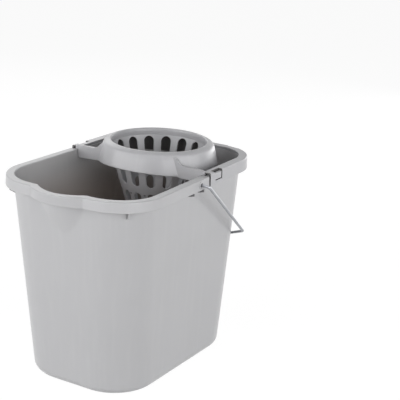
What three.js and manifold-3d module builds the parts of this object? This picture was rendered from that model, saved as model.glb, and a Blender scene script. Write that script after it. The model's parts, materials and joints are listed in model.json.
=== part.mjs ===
// Household mop bucket: a rectangular moulded pail with a pouring spout, a conical
// wringer that caps the rear half of its rim, and a steel wire bail with a grip.
//
// Millimetres, +Z up.  The origin is the centre of the bucket's base on the floor.
// The spout points to -X, the wringer sits at +X and the bail pivots about an axis along Y.

import * as THREE from 'three';
import { mergeVertices } from 'three/addons/utils/BufferGeometryUtils.js';
import Module from 'manifold-3d';

const wasm = await Module();
wasm.setup();

// ---------------------------------------------------------------- driving dimensions

const CLEARANCE = 0.3; // between parts that seat on each other

const BASE = {
  length: 276, width: 184, corner: 61.5, // outline where the walls would meet the floor
  edge: 11, // radius of the rounded bottom edge
  footRing: 13, panelRise: 1.5, pad: 30, // standing ring, recessed panel and its central pad
  thickness: 3,
};

const TUB = {
  length: 315.4, width: 206.6, // outline of the wall at the rim skirt's lower edge
  cornerFront: 56.8, cornerRear: 48.6,
  shift: -6.4, // the mouth stands this far forward of the base
  wall: 2.4,
  flareBase: 0.023, flareMouth: -0.0094, // half width gained per millimetre toward +X
};

const RIM = {
  top: 280, skirt: 14.5, // height, and depth of the skirt that hangs from it
  reach: 10.4, // from the wall's outer face to the rim's outer edge
  draft: 1, // the skirt leans out by this much at its foot
  sheet: 2, edge: 1.6, innerEdge: 2.4,
};

const SPOUT = {
  halfWidth: 37, reach: 16, drop: 64, // at the rim, and how far down the wall it runs out
  tipHalfWidth: 9, throatHalfWidth: 32, softness: 0.09,
};

const SEAT = { start: 8.4, step: 0.8, wall: 2.4 }; // the rim is rebated from here back for the cap

const GUSSET = { // webs under the rim, beside the pivots, along the sides and at the corners
  thickness: 2, overlap: 0.8, toe: 5, drop: 4, root: 6.5,
  besidePivot: [12.6, 29.6], sides: [-92, 58, 100], frontTurn: 41, rearTurn: 45,
};

const PIVOT = { x: -12.4, drop: 7.2, hole: 6, boss: 12, bossRise: 0.6 }; // drop is below the rim's top

const CAP = { // the wringer's cap over the rear half of the rim
  sheet: 3.2, lip: 0.4,
  mouthSheet: 1.8, mouthLength: 10, mouthGap: 1.4, // its two front ends are relieved inside
};

const SNAP = { from: 22, root: 26, to: 44, slit: 1.6, topSlit: 2.2, drop: 2.5, length: 11.3 };

const NOTCH = { length: 21, depth: 2.4, width: 3.4, turn: 13.5 };

const WRINGER = {
  x: 61.9, wall: 2.4,
  rise: 21.4, mouth: 66.8, // height of the lip above the rim, and its inner radius
  throatDrop: 9.9, // the cone begins this far below the crest
  slope: 0.3075, // radius the cone gains per millimetre of height
  shoulder: 78.2, shoulderDrop: 7, // the collar's wall begins this far below the crest
  hem: 84.9, hemBelowRim: 5.6, hemDrop: 6.6, // the collar's lower edge dips toward the arms
  depth: 129.4, footRound: 3, // from the crest to the floor
};

const SLOTS = { around: 16, turn: 12.3, below: 1.8, lengths: [44.7, 42.5], gap: 10.5 }; // below the throat

const DRAIN = { around: 8, circle: 18, hole: 7, centreHole: 11 };

const ARM = {
  front: 8, thickness: 5, round: 2,
  rise: 6.2, foot: 9.5, footOuter: 11.6, // upper edge above the rim, lower edge below it
  inset: 16.8, // it starts this far inside the mouth's radius, before it is trimmed
  fillet: [[5.2, 0.6], [1.6, 2.3], [-1.8, 5.1], [-4.8, 9.4], [-6.8, 12.6]], // from the mouth, rise
  gusset: 9, // quarter-round web behind the arm's outer end
};

const BRIDGE = { halfWidth: 26, rise: 6.5, round: 2 };

const WIRE = {
  diameter: 4, head: 7.4, headLength: 2,
  rest: 37.2, // the bail hangs this many degrees below level, against the rear wall
  standOff: 0.4, // from its grip to the wall
  elbow: { out: 11.65, radius: 4.6 }, // out from the skirt
  knee: { rise: 47.4, clear: 0.8582, radius: 7 }, // back from the grip's axis, clear of the rear corner
  shoulder: { past: 7, radius: 12 }, // past the grip's end
};

const GRIP = { diameter: 15.4, length: 92, bore: 4.8, groove: 0.9, grooves: 6, round: 2 };

const ARC_STEPS = 8; // facets in each corner of the bucket
const TURN_STEPS = 48; // facets round the wringer

const SPOUT_TIP = RIM.top - SPOUT.drop;
const SKIRT_FOOT = RIM.top - RIM.skirt;
const CAP_TOP = RIM.top + CLEARANCE + CAP.sheet;
const PIVOT_Z = RIM.top - PIVOT.drop;
const CREST = RIM.top + WRINGER.rise;
const THROAT = CREST - WRINGER.throatDrop;
const SHOULDER = CREST - WRINGER.shoulderDrop;
const HEM_FRONT = RIM.top - WRINGER.hemBelowRim;
const STRAINER_FLOOR = CREST - WRINGER.depth;

// ---------------------------------------------------------------- small helpers

const rad = THREE.MathUtils.degToRad;
const lerp = THREE.MathUtils.lerp;
const vec = (x, y, z) => new THREE.Vector3(x, y, z);

/** Closed BufferGeometry to Manifold. */
function solid(geometry) {
  const bare = geometry.clone();
  bare.deleteAttribute('normal');
  bare.deleteAttribute('uv');
  const merged = mergeVertices(bare, 1e-4);
  return new wasm.Manifold(new wasm.Mesh({
    numProp: 3,
    vertProperties: Float32Array.from(merged.attributes.position.array),
    triVerts: Uint32Array.from(merged.index.array),
  }));
}

/** Manifold to BufferGeometry. */
function surface(manifold) {
  const mesh = manifold.getMesh();
  const geometry = new THREE.BufferGeometry();
  geometry.setAttribute('position', new THREE.BufferAttribute(Float32Array.from(mesh.vertProperties), 3));
  geometry.setIndex(new THREE.BufferAttribute(Uint32Array.from(mesh.triVerts), 1));
  geometry.computeVertexNormals();
  return geometry;
}

/**
 * Skin over rings of equal length, each an array of [x, y, z].
 * The end rings are closed by a fan, or by `endTriangles` for a section that isn't convex.
 */
function loft(rings, endTriangles = null) {
  const count = rings[0].length;
  const far = (rings.length - 1) * count;
  const positions = rings.flat(2);
  const index = [];
  for (let start = 0; start < far; start += count) {
    for (let j = 0; j < count; j += 1) {
      const a = start + j;
      const b = start + ((j + 1) % count);
      index.push(a, b, b + count, a, b + count, a + count);
    }
  }
  if (endTriangles) {
    for (const [p, q, r] of endTriangles) {
      index.push(p, q, r, far + r, far + q, far + p);
    }
  } else {
    const near = positions.length / 3;
    for (const ends of [rings[0], rings.at(-1)]) {
      for (let axis = 0; axis < 3; axis += 1) {
        positions.push(ends.reduce((sum, point) => sum + point[axis], 0) / count);
      }
    }
    for (let j = 0; j < count; j += 1) {
      const k = (j + 1) % count;
      index.push(near, k, j, near + 1, far + j, far + k);
    }
  }
  const geometry = new THREE.BufferGeometry();
  geometry.setAttribute('position', new THREE.Float32BufferAttribute(positions, 3));
  geometry.setIndex(index);
  return geometry;
}

/** Block between two corners, on the side of the object given by `side` (-1 near, 1 far). */
function block(side, [x0, x1], [y0, y1], [z0, z1]) {
  const geometry = new THREE.BoxGeometry(x1 - x0, y1 - y0, z1 - z0);
  return solid(geometry.translate((x0 + x1) / 2, (side * (y0 + y1)) / 2, (z0 + z1) / 2));
}

/** Round bar along Y at (x, z). */
function barAlongY(side, diameter, y0, y1, x, z, sides = 24) {
  const geometry = new THREE.CylinderGeometry(diameter / 2, diameter / 2, y1 - y0, sides);
  return solid(geometry.translate(x, (side * (y0 + y1)) / 2, z));
}

function part(name, geometry, colour, roughness, metalness) {
  const mesh = new THREE.Mesh(
    geometry,
    new THREE.MeshStandardMaterial({ color: colour, roughness, metalness }),
  );
  mesh.name = name;
  return mesh;
}

// ---------------------------------------------------------------- the bucket's outline

/** Outer face of the tub's wall at a height: half sizes, corner radii, centre and plan flare. */
function wallAt(z) {
  const t = z / SKIRT_FOOT;
  return {
    a: lerp(BASE.length, TUB.length, t) / 2,
    b: lerp(BASE.width, TUB.width, t) / 2,
    front: lerp(BASE.corner, TUB.cornerFront, t),
    rear: lerp(BASE.corner, TUB.cornerRear, t),
    x: TUB.shift * t,
    flare: lerp(TUB.flareBase, TUB.flareMouth, t),
  };
}

const MOUTH = wallAt(SKIRT_FOOT);

/** How far the spout pushes the front out, and how wide it is, at a height. */
function spoutAt(z) {
  const { clamp } = THREE.MathUtils;
  const rise = clamp((z - SPOUT_TIP) / (RIM.top - SPOUT_TIP), 0, 1);
  const throat = clamp((z - SPOUT_TIP) / (SKIRT_FOOT - SPOUT_TIP), 0, 1);
  const rim = clamp((z - SKIRT_FOOT) / RIM.skirt, 0, 1);
  const half = lerp(SPOUT.throatHalfWidth * throat ** 0.62, SPOUT.halfWidth, rim);
  return { reach: SPOUT.reach * rise ** 1.1, half: Math.max(half, SPOUT.tipHalfWidth) };
}

/** Share of the spout's push at t of its half width, with rounded shoulders at t = 1. */
function spoutShare(t) {
  const level = 1 - t ** 2;
  return (level + Math.sqrt(level ** 2 + SPOUT.softness ** 2)) / 2;
}

/**
 * Stations round the bucket seen from above, anticlockwise from the near side's rebate.
 * A station is a place on any of the nested outlines, whatever their size.
 */
function makeStations() {
  const list = [];
  const steps = Array.from({ length: ARC_STEPS + 1 }, (_, i) => (i / ARC_STEPS) * 90);
  const rebate = [SEAT.start - SEAT.wall, SEAT.start, SEAT.start + SEAT.step];
  const straight = (side, x) => list.push({ kind: 'side', side, x });
  const corner = (side, end, from) => {
    steps.forEach((turn) => list.push({ kind: 'corner', side, end, angle: rad(from + turn) }));
  };
  rebate.forEach((x) => straight(-1, x));
  corner(-1, 'rear', -90);
  corner(1, 'rear', 0);
  rebate.reverse().forEach((x) => straight(1, x));
  straight(1, PIVOT.x);
  corner(1, 'front', 90);
  for (const t of [1.12, 1, 0.86, 0.6, 0.3, 0, -0.3, -0.6, -0.86, -1, -1.12]) {
    list.push({ kind: 'spout', t });
  }
  corner(-1, 'front', 180);
  straight(-1, PIVOT.x);
  return list;
}

const STATIONS = makeStations();
const isCapped = (s) => s.end === 'rear' || (s.kind === 'side' && s.x > SEAT.start);
const isRebatedInside = (s) => s.end === 'rear' || (s.kind === 'side' && s.x >= SEAT.start);

/** A station's point on `outline` grown by `offset`, at height z. */
function place(station, outline, offset, z) {
  const a = outline.a + offset;
  const b = outline.b + offset;
  const spread = (x, y) => [x, y * (1 + (outline.flare * (x - outline.x)) / outline.b), z];
  if (station.kind === 'side') return spread(station.x, station.side * b);
  if (station.kind === 'corner') {
    const radius = outline[station.end] + offset;
    const sx = station.end === 'rear' ? 1 : -1;
    return spread(
      outline.x + sx * (a - radius) + radius * Math.cos(station.angle),
      station.side * (b - radius) + radius * Math.sin(station.angle),
    );
  }
  const spout = spoutAt(z);
  const half = spout.half + Math.max(offset, 0) * 0.35;
  return spread(outline.x - a - spout.reach * spoutShare(station.t), station.t * half);
}

/** Half width of the rim skirt's outer face at x and height z. */
function skirtFace(x, z = RIM.top) {
  const lean = (RIM.draft * (RIM.top - z)) / (RIM.top - SKIRT_FOOT);
  return place({ kind: 'side', side: 1, x }, MOUTH, RIM.reach + lean, z)[1];
}

// ---------------------------------------------------------------- bucket

/** One continuous shell: base, outside, skirt, rim, inside and floor. */
function bucketShell() {
  const { top, reach, draft, sheet, edge } = RIM;
  const rings = [];
  const ring = (outline, offset, z, shift = () => 0) => rings.push(
    STATIONS.map((station) => place(station, outline, offset + shift(station), z)),
  );
  const capDepth = CAP.sheet + CLEARANCE;
  const outside = (s) => (isCapped(s) ? -capDepth : 0);
  const inside = (s) => (isRebatedInside(s) ? -capDepth : 0);
  const knuckle = [52, 40, 22, 10].map((drop) => top - drop);

  ring(wallAt(0), -BASE.edge - BASE.footRing - BASE.panelRise, BASE.panelRise);
  ring(wallAt(0), -BASE.edge - BASE.footRing, 0);
  for (const turn of [0, 22, 45, 67, 90]) {
    const z = BASE.edge * (1 - Math.cos(rad(turn)));
    ring(wallAt(z), -BASE.edge * (1 - Math.sin(rad(turn))), z);
  }
  for (const z of [SPOUT_TIP, ...knuckle, top - sheet - 1]) ring(wallAt(z), 0, z);
  ring(MOUTH, 2, top - sheet);

  ring(MOUTH, reach - sheet - 1, top - sheet, inside);
  ring(MOUTH, reach - sheet, top - sheet - 1, inside);
  ring(MOUTH, reach + draft - sheet * 0.8, SKIRT_FOOT, inside);
  ring(MOUTH, reach + draft, SKIRT_FOOT, outside);
  ring(MOUTH, reach, top - edge, outside);
  ring(MOUTH, reach - edge * 0.35, top - edge * 0.35, outside);
  ring(MOUTH, reach - edge, top, outside);

  ring(MOUTH, 0.6, top);
  ring(MOUTH, -0.7, top - RIM.innerEdge * 0.3);
  ring(wallAt(top - RIM.innerEdge), -TUB.wall, top - RIM.innerEdge);
  for (const z of [...knuckle].reverse().concat(SPOUT_TIP)) ring(wallAt(z), -TUB.wall, z);
  const floorTop = BASE.panelRise + BASE.thickness;
  const bend = BASE.edge - TUB.wall;
  for (const turn of [90, 60, 30, 0]) {
    const z = floorTop + bend * (1 - Math.cos(rad(turn)));
    ring(wallAt(z), -TUB.wall - bend * (1 - Math.sin(rad(turn))), z);
  }
  return solid(loft(rings));
}

/** Upright webs between the wall and the rim's skirt, showing a little below the skirt. */
function gussets() {
  const web = (point, angle, rebated) => {
    const reach = RIM.reach - RIM.sheet + GUSSET.overlap - (rebated ? CAP.sheet + CLEARANCE : 0);
    const outline = [
      [-1, RIM.top - RIM.sheet + GUSSET.overlap], [reach, RIM.top - RIM.sheet + GUSSET.overlap],
      [reach + RIM.draft / 2, SKIRT_FOOT + 1], [reach - 1, SKIRT_FOOT + 0.4],
      [Math.min(GUSSET.toe, reach - 1.4), SKIRT_FOOT - GUSSET.drop],
      [-TUB.wall / 2, SKIRT_FOOT - GUSSET.root],
    ].map(([u, v]) => new THREE.Vector2(u, v));
    const geometry = new THREE.ExtrudeGeometry(
      new THREE.Shape(outline),
      { depth: GUSSET.thickness, bevelEnabled: false },
    );
    geometry.translate(0, 0, -GUSSET.thickness / 2).rotateX(Math.PI / 2).rotateZ(angle);
    return solid(geometry.translate(point[0], point[1], 0));
  };
  const webs = [];
  for (const side of [-1, 1]) {
    const along = [
      ...GUSSET.besidePivot.flatMap((d) => [PIVOT.x - d, PIVOT.x + d]),
      ...GUSSET.sides,
    ];
    for (const x of along) {
      const point = place({ kind: 'side', side, x }, MOUTH, 0, SKIRT_FOOT);
      webs.push(web(point, (side * Math.PI) / 2, x > SEAT.start - 3));
    }
    for (const [end, turn] of [['front', GUSSET.frontTurn], ['rear', GUSSET.rearTurn]]) {
      const outward = end === 'rear' ? 1 : -1;
      const angle = Math.atan2(side * Math.sin(rad(turn)), outward * Math.cos(rad(turn)));
      const station = { kind: 'corner', side, end, angle };
      webs.push(web(place(station, MOUTH, 0, SKIRT_FOOT), angle, end === 'rear'));
    }
  }
  return webs;
}

function bucket() {
  let body = bucketShell();
  for (const web of gussets()) body = body.add(web);
  const pad = new THREE.CylinderGeometry(BASE.pad / 2, BASE.pad / 2, BASE.panelRise + 1, 24);
  body = body.add(solid(pad.rotateX(Math.PI / 2).translate(0, 0, (BASE.panelRise + 1) / 2)));
  for (const side of [-1, 1]) {
    const face = skirtFace(PIVOT.x, PIVOT_Z);
    body = body
      .add(barAlongY(side, PIVOT.boss, face - RIM.sheet / 2, face + PIVOT.bossRise, PIVOT.x, PIVOT_Z))
      .subtract(barAlongY(side, PIVOT.hole, face - 2 * RIM.sheet, face + 2 * RIM.sheet, PIVOT.x, PIVOT_Z));
  }
  return body;
}

// ---------------------------------------------------------------- wringer

/** Outer radius of the strainer cone at a height. */
const coneRadius = (z) => WRINGER.mouth + WRINGER.wall + (z - THROAT) * WRINGER.slope;

/** Strainer cone, rounded lip and hanging collar about the wringer's axis. */
function wringerBowl() {
  const w = WRINGER;
  const foot = coneRadius(STRAINER_FLOOR);
  const lip = w.mouth + w.wall;
  const profile = [ // radius, height, share of the hem's dip
    [foot - w.footRound, STRAINER_FLOOR - w.wall, 0],
    [foot - w.footRound * 0.3, STRAINER_FLOOR - w.wall * 0.7, 0],
    [coneRadius(STRAINER_FLOOR + w.wall * 0.4), STRAINER_FLOOR + w.wall * 0.4, 0],
    [lip, THROAT, 0],
    [lip + 0.4, CREST - w.wall - 2, 0],
    [lip + 2, CREST - w.wall - 0.6, 0],
    [w.shoulder - w.wall - 1.4, SHOULDER - 0.8, 0],
    [w.shoulder - w.wall + 0.4, SHOULDER - 3, 0],
    [w.hem - w.wall - 1.4, HEM_FRONT + 4, 0.9],
    [w.hem - w.wall, HEM_FRONT + 0.3, 1],
    [w.hem - w.wall * 0.7, HEM_FRONT, 1],
    [w.hem - w.wall * 0.2, HEM_FRONT, 1],
    [w.hem, HEM_FRONT + 0.7, 1],
    [w.hem - 1.6, HEM_FRONT + 4.2, 0.9],
    [w.shoulder + 0.8, SHOULDER - 3, 0],
    [w.shoulder, SHOULDER, 0],
    [w.shoulder - 1.4, SHOULDER + 2.6, 0],
    [w.shoulder - 3.8, SHOULDER + 4.8, 0],
    [w.mouth + 4.6, CREST - 0.6, 0],
    [w.mouth + 2, CREST, 0],
    [w.mouth + 0.7, CREST - 0.6, 0],
    [w.mouth, CREST - 2.2, 0],
    [w.mouth, THROAT, 0],
    [coneRadius(STRAINER_FLOOR + w.footRound) - w.wall, STRAINER_FLOOR + w.footRound, 0],
    [foot - w.wall - w.footRound * 0.3, STRAINER_FLOOR + w.footRound * 0.3, 0],
    [foot - w.wall - w.footRound, STRAINER_FLOOR, 0],
  ];
  const rings = profile.map(([radius, z, dip]) => Array.from({ length: TURN_STEPS }, (_, i) => {
    const angle = (i / TURN_STEPS) * 2 * Math.PI;
    const drop = dip * w.hemDrop * Math.sin(angle) ** 2;
    return [w.x + radius * Math.cos(angle), radius * Math.sin(angle), z - drop];
  }));
  return solid(loft(rings));
}

/** Everything inside the collar's wall: trims what is joined to its outside. */
function collarCore() {
  const w = WRINGER;
  const half = w.wall / 2;
  const points = [
    [0, HEM_FRONT - 2 * w.hemDrop],
    [w.hem - half, HEM_FRONT - 2 * w.hemDrop],
    [w.hem - half, HEM_FRONT - w.hemDrop],
    [w.shoulder - half, SHOULDER - half],
    [w.mouth + w.wall, CREST - half],
    [w.mouth + w.wall, CREST + w.shoulderDrop],
    [0, CREST + w.shoulderDrop],
  ].map(([r, z]) => new THREE.Vector2(r, z));
  return solid(new THREE.LatheGeometry(points, TURN_STEPS).rotateX(Math.PI / 2).translate(w.x, 0, 0));
}

/** Round-ended slot square to the cone's wall, widening upward with the cone. */
function slotCutter(top, bottom, angle) {
  const tilt = Math.atan(WRINGER.slope);
  const length = (top - bottom) / Math.cos(tilt);
  const [upper, lower] = [top, bottom].map((z) => coneRadius(z) * Math.sin(rad(SLOTS.turn / 2)));
  const shape = new THREE.Shape();
  shape.absarc(0, length / 2 - upper, upper, 0, Math.PI, false);
  shape.absarc(0, lower - length / 2, lower, Math.PI, 2 * Math.PI, false);
  const depth = 5 * WRINGER.wall;
  const geometry = new THREE.ExtrudeGeometry(shape, { depth, bevelEnabled: false, curveSegments: 4 });
  const middle = (top + bottom) / 2;
  const turned = new THREE.Matrix4().makeBasis(
    vec(0, 1, 0),
    vec(Math.sin(tilt), 0, Math.cos(tilt)),
    vec(Math.cos(tilt), 0, -Math.sin(tilt)),
  );
  geometry.translate(0, 0, -depth / 2)
    .applyMatrix4(turned)
    .translate(coneRadius(middle) - WRINGER.wall / 2, 0, middle)
    .rotateZ(angle)
    .translate(WRINGER.x, 0, 0);
  return solid(geometry);
}

function drainCutter(diameter, distance, angle) {
  const geometry = new THREE.CylinderGeometry(diameter / 2, diameter / 2, 4 * WRINGER.wall, 16);
  geometry.rotateX(Math.PI / 2).translate(distance, 0, STRAINER_FLOOR - WRINGER.wall / 2);
  return solid(geometry.rotateZ(angle).translate(WRINGER.x, 0, 0));
}

/** Angle section run round the rear of the rim, thinner at its two front ends. */
function rimCap() {
  const { edge, reach, draft } = RIM;
  const section = (sheet) => [
    [CAP.lip, CAP_TOP - 0.5],
    [CAP.lip + 0.5, CAP_TOP],
    [reach - edge, CAP_TOP],
    [reach - edge * 0.35, CAP_TOP - edge * 0.35],
    [reach, CAP_TOP - edge],
    [reach + draft, SKIRT_FOOT],
    [reach + draft - sheet, SKIRT_FOOT],
    [reach - sheet, CAP_TOP - sheet - 0.8],
    [reach - sheet - 0.8, CAP_TOP - sheet],
    [CAP.lip, CAP_TOP - sheet],
  ];
  const front = SEAT.start + SEAT.step + CAP.mouthGap;
  const ends = [
    [front, CAP.mouthSheet],
    [front + CAP.mouthLength, CAP.mouthSheet],
    [front + CAP.mouthLength + CLEARANCE, CAP.sheet],
  ];
  const along = (side) => ends.map(([x, sheet]) => [{ kind: 'side', side, x }, sheet]);
  const bend = STATIONS.filter((s) => s.end === 'rear').map((s) => [s, CAP.sheet]);
  const line = [...along(-1), ...bend, ...along(1).reverse()];
  const rings = line.map(([station, sheet]) => (
    section(sheet).map(([offset, z]) => place(station, MOUTH, offset, z))
  ));
  const contour = section(CAP.mouthSheet).map(([u, v]) => new THREE.Vector2(u, v));
  return solid(loft(rings, THREE.ShapeUtils.triangulateShape(contour, [])));
}

/** The slits and the lowered top that free a springy tongue in the cap's side. */
function snapCutters(side) {
  const face = skirtFace((SNAP.from + SNAP.to) / 2);
  const inner = face - CAP.sheet - CLEARANCE;
  const outer = face + 2 * RIM.draft;
  const above = CAP_TOP + SNAP.slit;
  const foot = CAP_TOP - SNAP.length;
  return [
    block(side, [SNAP.from, SNAP.to], [inner - SNAP.topSlit, inner], [RIM.top, above]),
    block(side, [SNAP.from, SNAP.to], [inner - SNAP.slit / 2, outer], [CAP_TOP - SNAP.drop, above]),
    block(side, [SNAP.to - SNAP.slit, SNAP.to], [inner - SNAP.slit / 2, outer], [foot, above]),
    block(side, [SNAP.root, SNAP.to], [inner - SNAP.slit, outer], [foot - SNAP.slit, foot]),
  ];
}

/** Shallow step in the cap's outer edge at a rear corner. */
function notchCutter(side) {
  const angle = side * rad(NOTCH.turn);
  const station = { kind: 'corner', side, end: 'rear', angle };
  const [x, y] = place(station, MOUTH, RIM.reach - NOTCH.width, CAP_TOP);
  const geometry = new THREE.BoxGeometry(4 * NOTCH.width, NOTCH.length, 2 * NOTCH.depth);
  return solid(geometry.translate(2 * NOTCH.width, 0, 0).rotateZ(angle).translate(x, y, CAP_TOP));
}

/** Upright plate from the collar over the rim to the cap, with a web behind its outer end. */
function arm(side) {
  const over = RIM.top + CLEARANCE;
  const top = RIM.top + ARM.rise;
  const foot = RIM.top - ARM.foot;
  const footOuter = RIM.top - ARM.footOuter;
  const inner = WRINGER.mouth - ARM.inset;
  const face = place({ kind: 'side', side: 1, x: ARM.front }, wallAt(footOuter), -TUB.wall, 0)[1];
  const toe = face - 2 * CLEARANCE;
  const end = place({ kind: 'side', side: 1, x: ARM.front }, MOUTH, CAP.lip + 1, 0)[1];
  const upper = ARM.fillet.map(([out, rise]) => [WRINGER.mouth + out, top + rise]);
  const outline = (lower) => new THREE.Shape([
    [inner, foot], [toe - ARM.round, footOuter], [toe, footOuter + ARM.round],
    [toe, over], [end, over], [end, CAP_TOP - 0.5], [end - ARM.round, top - lower],
    ...upper.map(([y, z]) => [y, z - lower]), [inner, top + ARM.fillet.at(-1)[1] - lower],
  ].map(([u, v]) => new THREE.Vector2(u, v)));
  const slab = (shape, x0, x1) => {
    const geometry = new THREE.ExtrudeGeometry(shape, { depth: x1 - x0, bevelEnabled: false });
    geometry.applyMatrix4(new THREE.Matrix4().makeBasis(vec(0, 1, 0), vec(0, 0, 1), vec(1, 0, 0)));
    if (side < 0) geometry.rotateZ(Math.PI).translate(x1 - x0, 0, 0);
    return solid(geometry.translate(x0, 0, 0));
  };
  const back = ARM.front + ARM.thickness;
  const step = ARM.round * 0.35;
  const web = new THREE.Shape();
  web.moveTo(ARM.front + 1, side * end);
  web.lineTo(ARM.front + 1, side * (end - ARM.gusset - 1));
  web.lineTo(back, side * (end - ARM.gusset - 1));
  web.quadraticCurveTo(
    back + ARM.gusset * 0.2, side * (end - ARM.gusset * 0.2),
    back + ARM.gusset, side * end,
  );
  const webGeometry = new THREE.ExtrudeGeometry(
    web,
    { depth: CAP_TOP - over, bevelEnabled: false, curveSegments: 5 },
  );
  return slab(outline(ARM.round), ARM.front, back)
    .add(slab(outline(step), ARM.front + step, back - step / 2))
    .add(slab(outline(0), ARM.front + ARM.round, back - step))
    .add(solid(webGeometry.translate(0, 0, over)));
}

/** Plate that joins the collar to the cap at the back. */
function bridge() {
  const rear = place({ kind: 'corner', side: 1, end: 'rear', angle: 0 }, MOUTH, CAP.lip + 1, 0)[0];
  const top = RIM.top + BRIDGE.rise;
  const outline = new THREE.Shape();
  outline.moveTo(WRINGER.x + WRINGER.mouth, RIM.top + CLEARANCE);
  outline.lineTo(rear, RIM.top + CLEARANCE);
  outline.lineTo(rear, top - BRIDGE.round);
  outline.quadraticCurveTo(rear, top, rear - BRIDGE.round, top);
  outline.lineTo(WRINGER.x + WRINGER.mouth, top);
  const depth = 2 * BRIDGE.halfWidth;
  const geometry = new THREE.ExtrudeGeometry(outline, { depth, bevelEnabled: false, curveSegments: 4 });
  return solid(geometry.translate(0, 0, -BRIDGE.halfWidth).rotateX(Math.PI / 2));
}

function wringer() {
  let joined = arm(-1).add(arm(1)).add(bridge()).subtract(collarCore());
  joined = joined.add(rimCap());
  for (const side of [-1, 1]) {
    for (const cutter of snapCutters(side)) joined = joined.subtract(cutter);
    joined = joined.subtract(notchCutter(side));
  }
  let bowl = wringerBowl();
  let top = THROAT - SLOTS.below;
  for (const length of SLOTS.lengths) {
    for (let i = 0; i < SLOTS.around; i += 1) {
      bowl = bowl.subtract(slotCutter(top, top - length, (i / SLOTS.around) * 2 * Math.PI));
    }
    top -= length + SLOTS.gap;
  }
  bowl = bowl.subtract(drainCutter(DRAIN.centreHole, 0, 0));
  for (let i = 0; i < DRAIN.around; i += 1) {
    bowl = bowl.subtract(drainCutter(DRAIN.hole, DRAIN.circle, (i / DRAIN.around) * 2 * Math.PI));
  }
  return bowl.add(joined);
}

// ---------------------------------------------------------------- bail

/** Point of the bail in its own plane (across, out from the pivots) as it hangs at rest. */
function bailPoint(y, reach) {
  const angle = rad(WIRE.rest);
  return vec(PIVOT.x + reach * Math.cos(angle), y, PIVOT_Z - reach * Math.sin(angle));
}

/** How far out from the pivots the grip's axis lies, when the grip rests on the rear wall. */
function gripReach() {
  const [back, down] = [Math.cos(rad(WIRE.rest)), Math.sin(rad(WIRE.rest))];
  const rearWall = (z) => wallAt(z).x + wallAt(z).a;
  const lean = (MOUTH.x + MOUTH.a - rearWall(0)) / SKIRT_FOOT;
  const stand = GRIP.diameter / 2 + WIRE.standOff;
  return (rearWall(0) + lean * PIVOT_Z + stand - PIVOT.x) / (back + lean * down);
}

/** The tub's rear corner where the bail's own plane cuts it at rest, as [across, out] points. */
function cornerSection() {
  const [back, down] = [Math.cos(rad(WIRE.rest)), Math.sin(rad(WIRE.rest))];
  const corner = STATIONS.filter(({ kind, end, side }) => kind === 'corner' && end === 'rear' && side > 0);
  return corner.map((station) => {
    const [foot, head] = [0, SKIRT_FOOT].map((z) => place(station, wallAt(z), 0, z));
    const [lean, spread] = [0, 1].map((axis) => (head[axis] - foot[axis]) / SKIRT_FOOT);
    const out = (foot[0] + lean * PIVOT_Z - PIVOT.x) / (back + lean * down);
    return [foot[1] + spread * (PIVOT_Z - out * down), out];
  });
}

/** How far out across the knee lies, so that the wire from the shoulder to it clears the corner. */
function kneeAcross(shoulder, reach) {
  const clear = WIRE.diameter / 2 + WIRE.knee.clear;
  const slants = cornerSection().map(([across, out]) => {
    const [run, rise] = [across - shoulder, reach - out];
    return Math.atan2(rise, run) - Math.asin(Math.min(1, clear / Math.hypot(run, rise)));
  });
  return shoulder + WIRE.knee.rise / Math.tan(Math.min(...slants));
}

/** Centre line of the wire with each corner rounded to its own radius. */
function wireLine() {
  const seat = skirtFace(PIVOT.x) - RIM.sheet - CLEARANCE;
  const elbow = skirtFace(PIVOT.x) + WIRE.elbow.out;
  const reach = gripReach();
  const shoulder = GRIP.length / 2 + WIRE.shoulder.past;
  const half = [
    [seat, 0, 0],
    [elbow, 0, WIRE.elbow.radius],
    [kneeAcross(shoulder, reach), reach - WIRE.knee.rise, WIRE.knee.radius],
    [shoulder, reach, WIRE.shoulder.radius],
  ];
  const mirrored = half.map(([y, reach, radius]) => [-y, reach, radius]);
  const corners = [...mirrored, ...half.reverse()];
  const line = [];
  corners.forEach(([y, reach, radius], i) => {
    const here = bailPoint(y, reach);
    if (radius === 0) {
      line.push(here);
      return;
    }
    const [before, after] = [corners[i - 1], corners[i + 1]].map(([v, r]) => bailPoint(v, r).sub(here).normalize());
    const opening = before.angleTo(after) / 2;
    const centre = before.clone().add(after).normalize().multiplyScalar(radius / Math.sin(opening)).add(here);
    const start = before.clone().multiplyScalar(radius / Math.tan(opening)).add(here).sub(centre);
    const normal = before.clone().cross(after).normalize();
    const sweep = Math.PI - 2 * opening;
    const steps = Math.max(3, Math.round(sweep / rad(15)));
    for (let k = 0; k <= steps; k += 1) {
      const turned = start.clone().applyAxisAngle(normal, (-sweep * k) / steps);
      line.push(turned.add(centre));
    }
  });
  return line;
}

/** A polyline as a path whose samples fall on its own corners. */
class CornerPath extends THREE.Curve {
  constructor(points) {
    super();
    this.points = points;
  }

  getPoint(t, target = new THREE.Vector3()) {
    const along = t * (this.points.length - 1);
    const i = Math.min(Math.floor(along + 1e-9), this.points.length - 2);
    return target.lerpVectors(this.points[i], this.points[i + 1], along - i);
  }

  getPointAt(t, target) {
    return this.getPoint(t, target);
  }

  getTangentAt(t, target = new THREE.Vector3()) {
    const half = 0.5 / (this.points.length - 1);
    const ahead = this.getPoint(Math.min(t + half, 1));
    return target.copy(ahead).sub(this.getPoint(Math.max(t - half, 0))).normalize();
  }
}

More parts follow.
